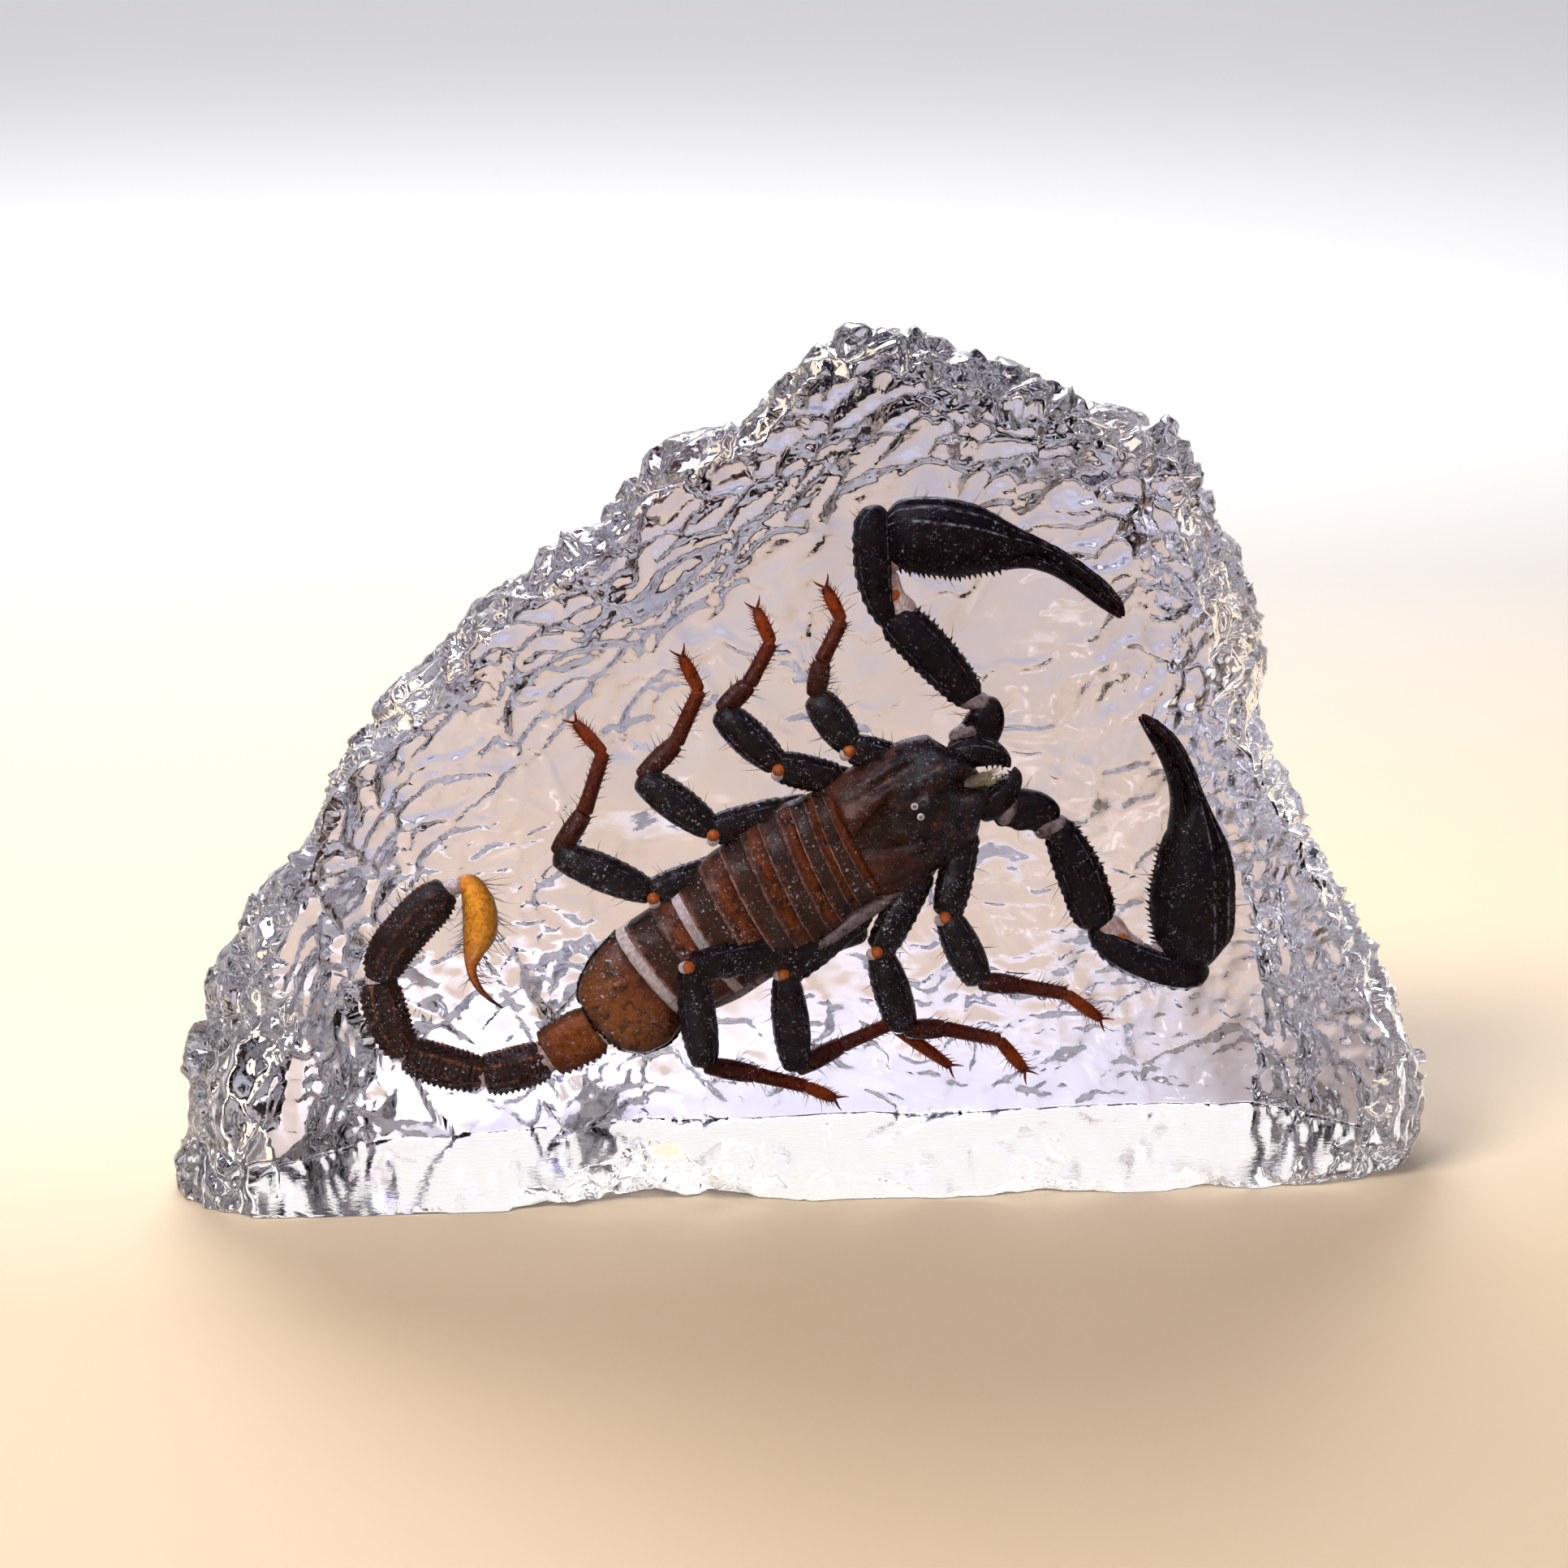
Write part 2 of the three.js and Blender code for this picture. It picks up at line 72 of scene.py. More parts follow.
class Graph:
    """One material's nodes, with short ways to add and join them."""

    def __init__(self, name: str) -> None:
        """Start an empty material.

        Args:
            name: the material's name.
        """
        self.material = bpy.data.materials.new(name)
        self.material.use_nodes = True
        self.tree = self.material.node_tree
        self.tree.nodes.clear()
        self.output = self.tree.nodes.new("ShaderNodeOutputMaterial")

    def add(self, kind: str, inputs: Optional[dict] = None, **settings: object) -> bpy.types.Node:
        """Add a node.

        Args:
            kind: the node's type without the ShaderNode that it starts with.
            inputs: socket name or number to a plain value or to another node's socket.
            **settings: the node's own properties.

        Returns:
            The new node.
        """
        node = self.tree.nodes.new("ShaderNode" + kind)
        for key, value in settings.items():
            setattr(node, key, value)
        for key, value in (inputs or {}).items():
            if isinstance(value, bpy.types.NodeSocket):
                self.tree.links.new(value, node.inputs[key])
            else:
                node.inputs[key].default_value = value
        return node

    def ramp(self, factor: bpy.types.NodeSocket, stops: Sequence[tuple[float, Colour]]) -> bpy.types.NodeSocket:
        """Turn a number into a colour.

        Args:
            factor: the number's socket.
            stops: places from 0 to 1 with their colours.

        Returns:
            The colour's socket.
        """
        node = self.add("ValToRGB", {"Fac": factor})
        band = node.color_ramp
        while len(band.elements) < len(stops):
            band.elements.new(0.5)
        for element, (place, colour) in zip(band.elements, stops):
            element.position = place
            element.color = (*colour, 1.0)
        return node.outputs["Color"]

    def mix(self, share: object, first: object, second: object, blend: str = "MIX") -> bpy.types.NodeSocket:
        """Blend two colours.

        Args:
            share: a socket or number, how much of the second shows.
            first: a socket or a colour.
            second: a socket or a colour.
            blend: Blender's blend type.

        Returns:
            The blended colour's socket.
        """
        node = self.add("Mix", {0: share}, data_type="RGBA", blend_type=blend)
        for number, value in ((6, first), (7, second)):
            if isinstance(value, bpy.types.NodeSocket):
                self.tree.links.new(value, node.inputs[number])
            else:
                node.inputs[number].default_value = (*value, 1.0)
        return node.outputs[2]

    def math(self, operation: str, first: object, second: object = 0.0) -> bpy.types.NodeSocket:
        """Work out a number from two.

        Args:
            operation: Blender's math operation.
            first: a socket or number.
            second: a socket or number.

        Returns:
            The result's socket.
        """
        return self.add("Math", {0: first, 1: second}, operation=operation).outputs[0]

    def scatter(self, spot: bpy.types.NodeSocket) -> bpy.types.NodeSocket:
        """Give small shifts from place to place, which make round dots ragged."""
        ragged = self.add("TexNoise", {"Vector": spot, "Scale": 2600.0, "Detail": 2.0}).outputs["Color"]
        centred = self.add("VectorMath", {0: ragged, 1: (0.5, 0.5, 0.5)}, operation="SUBTRACT").outputs[0]
        return self.add("VectorMath", {0: centred, 1: (0.0006, 0.0006, 0.0006)}, operation="MULTIPLY").outputs[0]

    def window(self, value: object, low: float, high: float) -> bpy.types.NodeSocket:
        """Spread the values between low and high over 0 to 1, and clamp the rest."""
        return self.add("MapRange", {0: value, 1: low, 2: high}, interpolation_type="SMOOTHSTEP").outputs[0]

    def surface(self, shader: bpy.types.Node) -> None:
        """Make a shader the material's surface."""
        self.tree.links.new(shader.outputs[0], self.output.inputs["Surface"])


def smooth_step(low: float, high: float, value: np.ndarray) -> np.ndarray:
    """Go smoothly from 0 at low to 1 at high."""
    share = np.clip((value - low) / (high - low), 0.0, 1.0)
    return share * share * (3.0 - 2.0 * share)


def finished(
    bm: bmesh.types.BMesh,
    name: str,
    material: bpy.types.Material,
    slot: Slot,
    smooth: bool = True,
) -> bpy.types.Object:
    """Turn a bmesh into a piece that rides with the block.

    Args:
        bm: the finished bmesh, which is freed.
        name: the piece's name.
        material: its material.
        slot: the record's material slot; not used.
        smooth: shade every face smooth.

    Returns:
        The piece's object.
    """
    if bm.calc_volume(signed=True) < 0.0:
        bmesh.ops.reverse_faces(bm, faces=bm.faces[:])
    mesh = bpy.data.meshes.new(name)
    bm.to_mesh(mesh)
    bm.free()
    if smooth:
        mesh.polygons.foreach_set("use_smooth", [True] * len(mesh.polygons))
    mesh.materials.append(material)
    piece = bpy.data.objects.new(name, mesh)
    bpy.context.scene.collection.objects.link(piece)
    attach(piece, BODY)
    log.info("%s: %d faces", name, len(mesh.polygons))
    return piece


def wrap(bm: bmesh.types.BMesh, around: int, along: int, place: Place) -> list[bmesh.types.BMVert]:
    """Wrap a grid into a closed tube whose ends are capped.

    Args:
        bm: the bmesh to add to, which keeps the grid's own UV map.
        around: faces around the tube.
        along: faces along it.
        place: gives the spot of a point from its turn and its length, both from 0 to 1.

    Returns:
        The tube's vertices.
    """
    bm.loops.layers.uv.verify()
    grid = bmesh.ops.create_grid(bm, x_segments=around, y_segments=along, size=1.0, calc_uvs=True)
    verts = grid["verts"]
    for vert in verts:
        vert.co = place((vert.co.x + 1.0) / 2.0, (vert.co.y + 1.0) / 2.0)
    bmesh.ops.remove_doubles(bm, verts=verts, dist=1e-7)
    verts = [vert for vert in verts if vert.is_valid]
    rims = [edge for edge in {e for v in verts for e in v.link_edges} if edge.is_boundary]
    bmesh.ops.holes_fill(bm, edges=rims)
    faces = list({face for vert in verts for face in vert.link_faces})
    bmesh.ops.recalc_face_normals(bm, faces=faces)
    return verts


# ---- the resin block ----------------------------------------------------------------------------


@dataclass(frozen=True)
class ClearResin:
    """Clear cast resin, faintly lilac where the light's way through it is long."""

    ior: float = 1.5
    tint: Colour = (0.81, 0.80, 0.90)
    tint_per_metre: float = 1.6
    polished_until: float = -0.0228
    ripple_size: float = 620.0
    ripple_height: float = 0.00005
    scratch_at: Colour = (0.004, 0.0, 0.0875)
    scratch_reach: float = 0.0075
    scratch_size: float = 1500.0
    scratch_height: float = 0.00008

    def build(self) -> bpy.types.Material:
        """Make the material: plain transmission and absorption, rippled off the polished face."""
        graph = Graph("clear_resin")
        coords = graph.add("TexCoord").outputs["Object"]
        depth = graph.add("SeparateXYZ", {0: coords}).outputs["Y"]
        off_face = graph.window(depth, self.polished_until, self.polished_until + 0.001)
        fine = graph.add("TexNoise", {"Vector": coords, "Scale": self.ripple_size, "Detail": 4.0}).outputs[0]
        ripples = graph.math("MULTIPLY", fine, off_face)
        bump = graph.add("Bump", {"Height": ripples, "Distance": self.ripple_height, "Strength": 1.0})
        reach = graph.add("VectorMath", {0: coords, 1: self.scratch_at}, operation="SUBTRACT").outputs[0]
        flat = graph.add("VectorMath", {0: reach, 1: (1.0, 0.0, 1.0)}, operation="MULTIPLY").outputs[0]
        reach = graph.add("VectorMath", {0: flat}, operation="LENGTH").outputs["Value"]
        patch = graph.math("MULTIPLY", graph.window(reach, self.scratch_reach, 0.7 * self.scratch_reach), off_face)
        turned = graph.add("Mapping", {0: coords, "Rotation": (0.0, 0.42, 0.0), "Scale": (1.0, 0.1, 0.05)}).outputs[0]
        lines = graph.add("TexNoise", {"Vector": turned, "Scale": self.scratch_size, "Detail": 2.0}).outputs[0]
        scratches = graph.add("Bump", {
            "Height": graph.math("MULTIPLY", lines, patch),
            "Distance": self.scratch_height,
            "Strength": 1.0,
            "Normal": bump.outputs[0],
        })
        shader = graph.add("BsdfPrincipled", {
            "Base Color": (1.0, 1.0, 1.0, 1.0),
            "Roughness": 0.0,
            "IOR": self.ior,
            "Transmission Weight": 1.0,
            "Normal": scratches.outputs[0],
        })
        graph.surface(shader)
        volume = graph.add("VolumeAbsorption", {"Color": (*self.tint, 1.0), "Density": self.tint_per_metre})
        graph.tree.links.new(volume.outputs[0], graph.output.inputs["Volume"])
        return graph.material


@dataclass(frozen=True)
class Zone:
    """An oval part of the block where one kind of break shows, seen square on the polished face."""

    x: float
    z: float
    wide: float
    tall: float
    soft: float = 0.35

    def share(self, x: np.ndarray, z: np.ndarray) -> np.ndarray:
        """Give 1 inside the zone and 0 outside, with a soft border."""
        reach = np.hypot((x - self.x) / self.wide, (z - self.z) / self.tall)
        return 1.0 - smooth_step(1.0 - self.soft, 1.0 + self.soft, reach)


@dataclass
class ResinBlock:
    """The rough casting with its polished face, whose solid halves it stands for.

    The rim, the edge of the polished face and the cleaved facets have the sizes of the solid.
    """

    face_y: float = -23.0
    back_y: float = 22.4
    back_lean: float = 0.285
    columns: int = 84
    middle: tuple[float, float] = (0.0, 34.0)
    voxel: float = 0.56
    face_overshoot: float = 2.0
    rim: Sequence[tuple[float, float, float, float]] = (
        (-71.2, 0.0, -13, 8), (-70.6, 5.0, -12, 9), (-70.3, 13.5, -12, 10), (-67.6, 21.6, -12, 10),
        (-64.0, 28.8, -12, 11), (-59.2, 37.3, -13, 11), (-55.4, 41.0, -14, 11), (-51.0, 49.9, -15, 12),
        (-43.2, 60.1, -16, 12), (-39.2, 64.9, -17, 12), (-35.2, 66.6, -18, 12), (-25.0, 75.4, -19, 13),
        (-22.6, 79.0, -19, 13), (-16.4, 85.0, -19, 13), (-11.5, 87.7, -19, 12), (-6.2, 88.7, -19, 12),
        (-3.6, 93.3, -19, 12), (3.5, 96.1, -19, 12), (10.0, 97.0, -19, 12), (19.0, 95.4, -19, 12),
        (26.0, 91.2, -19, 12), (39.2, 86.9, -19, 11), (41.6, 81.7, -19, 10), (46.2, 74.0, -17, 10),
        (50.6, 61.0, -16, 9), (50.9, 48.5, -16, 9), (56.4, 39.6, -15, 9), (62.3, 27.8, -15, 9),
        (66.4, 20.2, -15, 8), (71.3, 9.0, -15, 8), (71.7, 4.0, -15, 8), (67.4, -1.5, -16, 5),
        (62.4, -1.5, -18, 3), (54.5, -1.5, -23, 3), (48.0, -1.5, -20, 3), (40.5, -1.5, -23, 3),
        (28.1, -1.5, -18, 3), (20.0, -1.5, -22, 3), (-2.0, -1.5, -22, 3), (-9.0, -1.5, -15, 3),
        (-21.5, -1.5, -12, 3), (-27.5, -1.5, -15, 3), (-35.0, -1.5, -22, 3), (-55.0, -1.5, -23, 3),
        (-66.0, -1.0, -19, 5),
    )
    polished: Sequence[tuple[float, float]] = (
        (-59.5, 1.0), (-60.6, 14.0), (-56.5, 23.0), (-58.6, 29.6), (-55.8, 39.6), (-50.9, 50.5),
        (-45.0, 54.6), (-38.0, 62.0), (-30.0, 67.8), (-21.4, 76.2), (-15.0, 82.3), (-6.6, 85.8),
        (-2.4, 91.4), (4.0, 93.4), (12.0, 93.6), (19.0, 91.6), (27.0, 87.6), (37.0, 83.8),
        (39.6, 77.0), (43.2, 66.8), (44.2, 54.0), (53.6, 42.0), (58.1, 32.0), (64.2, 16.5),
        (59.9, 7.0), (51.6, 4.3), (42.2, 5.6), (26.4, 9.0), (21.8, 5.2), (13.6, 1.2),
        (8.0, 7.6), (1.0, 10.8), (-8.0, 8.6), (-18.5, 7.4), (-32.2, 3.1), (-37.7, 0.3),
    )
    shard_zone: Zone = Zone(-33.0, 11.0, 27.0, 15.0)
    crystal_zone: Zone = Zone(39.0, 14.0, 32.0, 17.0)
    pebble_zones: Sequence[Zone] = (Zone(-68.0, 18.0, 7.0, 24.0), Zone(70.0, 8.0, 8.0, 14.0))
    mottled_zone: Zone = Zone(55.5, 34.5, 4.2, 4.6)
    knob_height: float = 1.1
    cleaved: Sequence[tuple[Colour, Colour]] = (
        ((-50, 9, 12), (-0.66, 0.72, 0.22)), ((-30, 13, 22), (-0.2, 0.95, 0.26)),
        ((4, -7.5, 88), (-0.25, 0.8, 0.54)), ((31, -13, 89.4), (0.36, 0.12, 0.92)),
        ((59, 8, 24), (0.76, 0.6, 0.24)),
    )

    def back_at(self, z: float) -> float:
        """Give the depth of the leaning back at a height."""
        return self.back_y - self.back_lean * z

    def lumps(self, x: float, y: float, z: float, size: float) -> float:
        """Give the smooth lumps that the solid has too, between about -1 and 1."""
        k = math.pi / size
        waves = (x + 0.6 * z) * k, (1.3 * y - 0.8 * x) * k + 1.7, (1.1 * z + 0.7 * y) * k + 4.1
        return sum(math.sin(wave) for wave in waves) / 3.0

    def outline_at(self, outline: Sequence[tuple[float, ...]], angle: float) -> np.ndarray:
        """Find where the ray from the middle at an angle leaves a closed outline.

        Args:
            outline: points of x and z, and any further numbers.
            angle: the ray's angle in radians.

        Returns:
            The outline's numbers there, blended.
        """
        ray = np.array((math.cos(angle), math.sin(angle)))
        points = np.array(outline, float)
        offsets = points[:, :2] - self.middle
        sides = ray[0] * offsets[:, 1] - ray[1] * offsets[:, 0]
        for a in range(len(points)):
            b = (a + 1) % len(points)
            share = sides[a] / (sides[a] - sides[b])
            point = points[a] + share * (points[b] - points[a])
            if sides[a] * sides[b] <= 0 and share < 1 and (point[:2] - self.middle) @ ray > 0:
                return point
        raise ValueError("the outline does not close around the middle of the block")

    def column_angles(self) -> list[float]:
        """Give the angles of the columns, evenly spaced along the rim."""
        points = np.array([point[:2] for point in self.rim])
        steps = np.linalg.norm(np.roll(points, -1, axis=0) - points, axis=1)
        reached = np.concatenate(([0.0], np.cumsum(steps)))
        closed = np.vstack((points, points[:1]))
        angles = []
        for i in range(self.columns):
            far = reached[-1] * (1.0 - i / self.columns)
            x, z = (np.interp(far, reached, closed[:, axis]) for axis in (0, 1))
            angles.append(math.atan2(z - self.middle[1], x - self.middle[0]))
        return angles

    def column(self, angle: float) -> list[Vector]:
        """Work out one column of the surface, from before the polished face to the back's middle.

        Args:
            angle: the column's angle around the middle.

        Returns:
            The spots of its rows.
        """
        face_x, face_z = self.outline_at(self.polished, angle)
        rim_x, rim_z, rim_y, bevel = self.outline_at(self.rim, angle)
        cos, sin = math.cos(angle), math.sin(angle)

        def inward(depth: float) -> tuple[float, float]:
            """Go in from the rim."""
            return rim_x - depth * cos, rim_z - depth * sin

        wall_end = max(self.back_at(rim_z) - 0.9 * bevel, rim_y + 3.0)
        (lip_x, lip_z), (bevel_x, bevel_z), (inner_x, inner_z) = map(inward, (0.12 * bevel, 0.5 * bevel, bevel))
        reach = math.hypot(inner_x - self.middle[0], inner_z - self.middle[1])
        over = 0.35
        rows = [
            (face_x + over * (face_x - rim_x), self.face_y - self.face_overshoot, face_z + over * (face_z - rim_z), 0.0),
            (face_x, self.face_y, face_z, 0.0),
            ((face_x + rim_x) / 2, self.face_y + 0.2 * (rim_y - self.face_y), (face_z + rim_z) / 2, 0.6),
            (rim_x, rim_y, rim_z, 0.5),
            (rim_x, (rim_y + wall_end) / 2, rim_z, 1.2),
            (lip_x, wall_end, lip_z, 1.7),
            (bevel_x, 0.45 * wall_end + 0.55 * self.back_at(bevel_z), bevel_z, 1.9),
            (inner_x, self.back_at(inner_z), inner_z, 1.2),
        ]
        for share in (0.7, 0.34):
            x, z = self.middle[0] + share * reach * cos, self.middle[1] + share * reach * sin
            rows.append((x, self.back_at(z), z, 0.6))
        column = []
        for row, (x, y, z, rough) in enumerate(rows):
            outward = Vector((x - self.middle[0], 40.0 if row > 5 else 0.0, z - self.middle[1])).normalized()
            lump = rough * (self.lumps(x, y, z, 13) + 0.7 * self.lumps(z, x, y, 6))
            column.append((Vector((x, y, z)) + outward * lump) * MM)
        column.append(Vector((self.middle[0], self.back_at(self.middle[1]), self.middle[1])) * MM)
        return column

    def casting(self) -> bmesh.types.BMesh:
        """Wrap the columns into a closed form and split the cleaved facets off it."""
        columns = [self.column(angle) for angle in self.column_angles()]
        rows = len(columns[0])
        bm = bmesh.new()

        def place(turn: float, length: float) -> Vector:
            """Give the spot of a grid point."""
            return columns[round(turn * self.columns) % self.columns][round(length * (rows - 1))]

        wrap(bm, self.columns, rows - 1, place)
        for at, facing in self.cleaved:
            self.cut(bm, Vector(at) * MM, Vector(facing))
        return bm

    def cut(self, bm: bmesh.types.BMesh, at: Vector, facing: Vector) -> None:
        """Cut away what lies before a plane, and close the cut flat.

        Args:
            bm: the bmesh to cut.
            at: a point of the plane.
            facing: the way the new flat face looks.
        """
        everything = bm.verts[:] + bm.edges[:] + bm.faces[:]
        bmesh.ops.bisect_plane(bm, geom=everything, dist=1e-7, plane_co=at, plane_no=facing, clear_outer=True)
        open_edges = [edge for edge in bm.edges if edge.is_boundary]
        closed = bmesh.ops.triangle_fill(bm, edges=open_edges, use_beauty=True, normal=facing)
        for part in closed["geom"]:
            if isinstance(part, bmesh.types.BMFace):
                part.smooth = False

    def fine_mesh(self, coarse: bpy.types.Mesh) -> bpy.types.Mesh:
        """Turn a closed mesh into an even one of small faces that don't fold over each other.

        Args:
            coarse: the closed mesh, which is removed.

        Returns:
            The mesh, one face to a voxel.
        """
        holder = bpy.data.objects.new("casting", coarse)
        bpy.context.scene.collection.objects.link(holder)
        remesh = holder.modifiers.new("voxels", "REMESH")
        remesh.mode = "VOXEL"
        remesh.voxel_size = self.voxel * MM
        graph = bpy.context.evaluated_depsgraph_get()
        mesh = bpy.data.meshes.new_from_object(holder.evaluated_get(graph))
        bpy.data.objects.remove(holder)
        bpy.data.meshes.remove(coarse)
        return mesh

    def rim_depth(self, spots: np.ndarray) -> np.ndarray:
        """Measure how far inside the rim's outline each spot lies.

        Args:
            spots: x, y and z of each spot in millimetres.

        Returns:
            The distance of each from the outline, seen square on the polished face.
        """
        flat = spots[:, (0, 2)]
        points = np.array([point[:2] for point in self.rim])
        nearest = np.full(len(flat), np.inf)
        for a, b in zip(points, np.roll(points, -1, axis=0)):
            side = b - a
            share = np.clip((flat - a) @ side / (side @ side), 0.0, 1.0)
            nearest = np.minimum(nearest, np.linalg.norm(flat - a - share[:, None] * side, axis=1))
        return nearest

    def relief(self, spots: np.ndarray, normals: np.ndarray) -> np.ndarray:
        """Work out how far the rough surface stands out at each spot.

        Args:
            spots: x, y and z of each spot in millimetres.
            normals: the way the surface looks there.

        Returns:
            The height of each spot above the smooth casting in millimetres.
        """
        x, _, z = spots.T
        depth = self.rim_depth(spots)
        right = smooth_step(34.0, 44.0, x)
        band = 1.0 - smooth_step(10.0 - 4.0 * right, 23.0 - 12.0 * right, depth)
        band *= smooth_step(14.0, 26.0, z)
        wall = 1.0 - smooth_step(0.35, 0.75, np.abs(normals[:, 1]))
        cleaved, crystals = self.shard_zone.share(x, z), self.crystal_zone.share(x, z)
        knobs = np.maximum.reduce([wall, *(zone.share(x, z) for zone in self.pebble_zones)])
        kinds = (
            (band, self.windows), (wall, self.chunks), (cleaved, self.shards), (crystals, self.crystals), (knobs, self.pebbles),
            (self.mottled_zone.share(x, z), self.mottles), (1.0 - band, self.cracks),
        )
        heights = np.zeros(len(spots))
        for i, place in enumerate(spots):
            spot = Vector(place)
            heights[i] = 0.6 * noise.noise(spot / 12.0) + 0.2 * noise.noise(spot / 5.0)
            heights[i] += 1.7 * abs(noise.noise(spot / 17.0 + Vector((3.1, 0.0, 1.7))))
            for shares, form in kinds:
                if shares[i] > 0.01:
                    heights[i] += shares[i] * form(spot)
        cut_off = (normals[:, 2] < -0.5) | (spots[:, 2] < 0.0) | (spots[:, 1] < self.face_y)
        return np.where(cut_off, np.maximum(heights, 0.0), heights)

    def pane(self, spot: Vector, size: float, groove: float, tilt: float, bend: float = 0.35) -> float:
        """Give the height of a patchwork of tilted panes with grooves between them.

        Args:
            spot: the place in millimetres.
            size: about how wide a pane is.
            groove: depth of the grooves.
            tilt: how far the panes lean.
            bend: how far their borders wind.

        Returns:
            The height there.
        """
        bent = spot + bend * size * noise.noise_vector(spot / (1.6 * size))
        scaled = bent / size
        distances, points = noise.voronoi(scaled)
        edge = distances[1] - distances[0]
        way = noise.noise_vector(points[0] * 7.3)
        return groove * (min(edge / 0.3, 1.0) - 0.7) + tilt * way.dot(scaled - points[0])

    def windows(self, spot: Vector) -> float:
        """Give the height of the long windows and winding channels of the upper edge."""
        slanted = Vector((0.5 * (spot.x + spot.z), spot.y, 0.95 * (spot.z - spot.x)))
        coarse = self.pane(slanted, 5.6, 1.05, 1.3, 0.9)
        return coarse + self.pane(slanted, 2.6, 0.24, 0.35, 0.7)

    def shards(self, spot: Vector) -> float:
        """Give the height of the large cleaved facets."""
        leaning = Vector((spot.x + 0.5 * spot.z, spot.y, 0.6 * spot.z))
        return self.pane(leaning, 9.5, 0.0, 7.5, 0.12) + self.pane(spot, 3.8, 0.0, 1.3, 0.3)

    def chunks(self, spot: Vector) -> float:
        """Give the height of the coarse broken lumps of the sides."""
        return self.pane(spot, 7.0, 0.0, 2.6, 0.25)

    def crystals(self, spot: Vector) -> float:
        """Give the height of the fine crystalline break."""
        return self.pane(spot, 2.6, 0.2, 0.8, 0.5) + 0.7 * noise.turbulence(spot / 6.0, 3, True)

    def pebbles(self, spot: Vector) -> float:
        """Give the height of the small rounded knobs of the side strips."""
        distances, _ = noise.voronoi((spot + 0.8 * noise.noise_vector(spot / 3.0)) / 2.7)
        return 0.75 * (0.45 - min(distances[0], 0.9)) * self.knob_height

    def mottles(self, spot: Vector) -> float:
        """Give the height of the small deep pits of the mottled patch."""
        return -0.9 * abs(noise.noise(spot / 0.9)) - 0.5 * noise.noise(spot / 1.9)

    def cracks(self, spot: Vector) -> float:
        """Give the depth of the few thin cracks of the clear back."""
        depth = 0.0
        for size, deep, width, at in ((15.0, 0.6, 0.04, 0.5), (7.5, 0.38, 0.07, 0.1)):
            bent = spot + 0.4 * size * noise.noise_vector(spot / (0.6 * size))
            distances, _ = noise.voronoi(bent / size)
            edge = distances[1] - distances[0]
            shown = max(0.0, min(1.0, 4.0 * noise.noise(spot / 11.0 + Vector((5.2, size, 0.7))) + at))
            depth -= deep * shown * math.exp(-((edge / width) ** 2))
        crumpled = max(0.0, min(1.0, 3.5 * noise.noise(spot / 15.0 + Vector((2.3, 0.4, 7.1))) + 0.25))
        folds = 0.85 * abs(noise.noise(spot / 6.5)) + 0.4 * abs(noise.noise(spot / 3.2))
        return depth + 0.3 * abs(noise.noise(spot / 8.0)) + crumpled * folds

    def build(self, finish: ClearResin) -> bpy.types.Object:
        """Model the block and let it stand for the two solid halves.

        Args:
            finish: the clear resin.

        Returns:
            The block's object.
        """
        coarse = bpy.data.meshes.new("casting")
        bm = self.casting()
        bm.to_mesh(coarse)
        bm.free()
        mesh = self.fine_mesh(coarse)
        count = len(mesh.vertices)
        spots, normals = np.empty(count * 3), np.empty(count * 3)
        mesh.vertices.foreach_get("co", spots)
        mesh.vertices.foreach_get("normal", normals)
        spots, normals = spots.reshape(-1, 3) / MM, normals.reshape(-1, 3)
        spots += normals * self.relief(spots, normals)[:, None]
        mesh.vertices.foreach_set("co", (spots * MM).ravel())
        bm = bmesh.new()
        bm.from_mesh(mesh)
        bpy.data.meshes.remove(mesh)
        for face in bm.faces:
            face.smooth = True
        self.cut(bm, Vector((0.0, self.face_y, 0.0)) * MM, Vector((0.0, -1.0, 0.0)))
        self.cut(bm, Vector(), Vector((0.0, 0.0, -1.0)))
        bmesh.ops.recalc_face_normals(bm, faces=bm.faces[:])
        piece = finished(bm, "resin_block", finish.build(), Slot.RESIN, smooth=False)
        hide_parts("resin_front", "resin_back")
        return piece


# ---- the scorpion's finishes --------------------------------------------------------------------


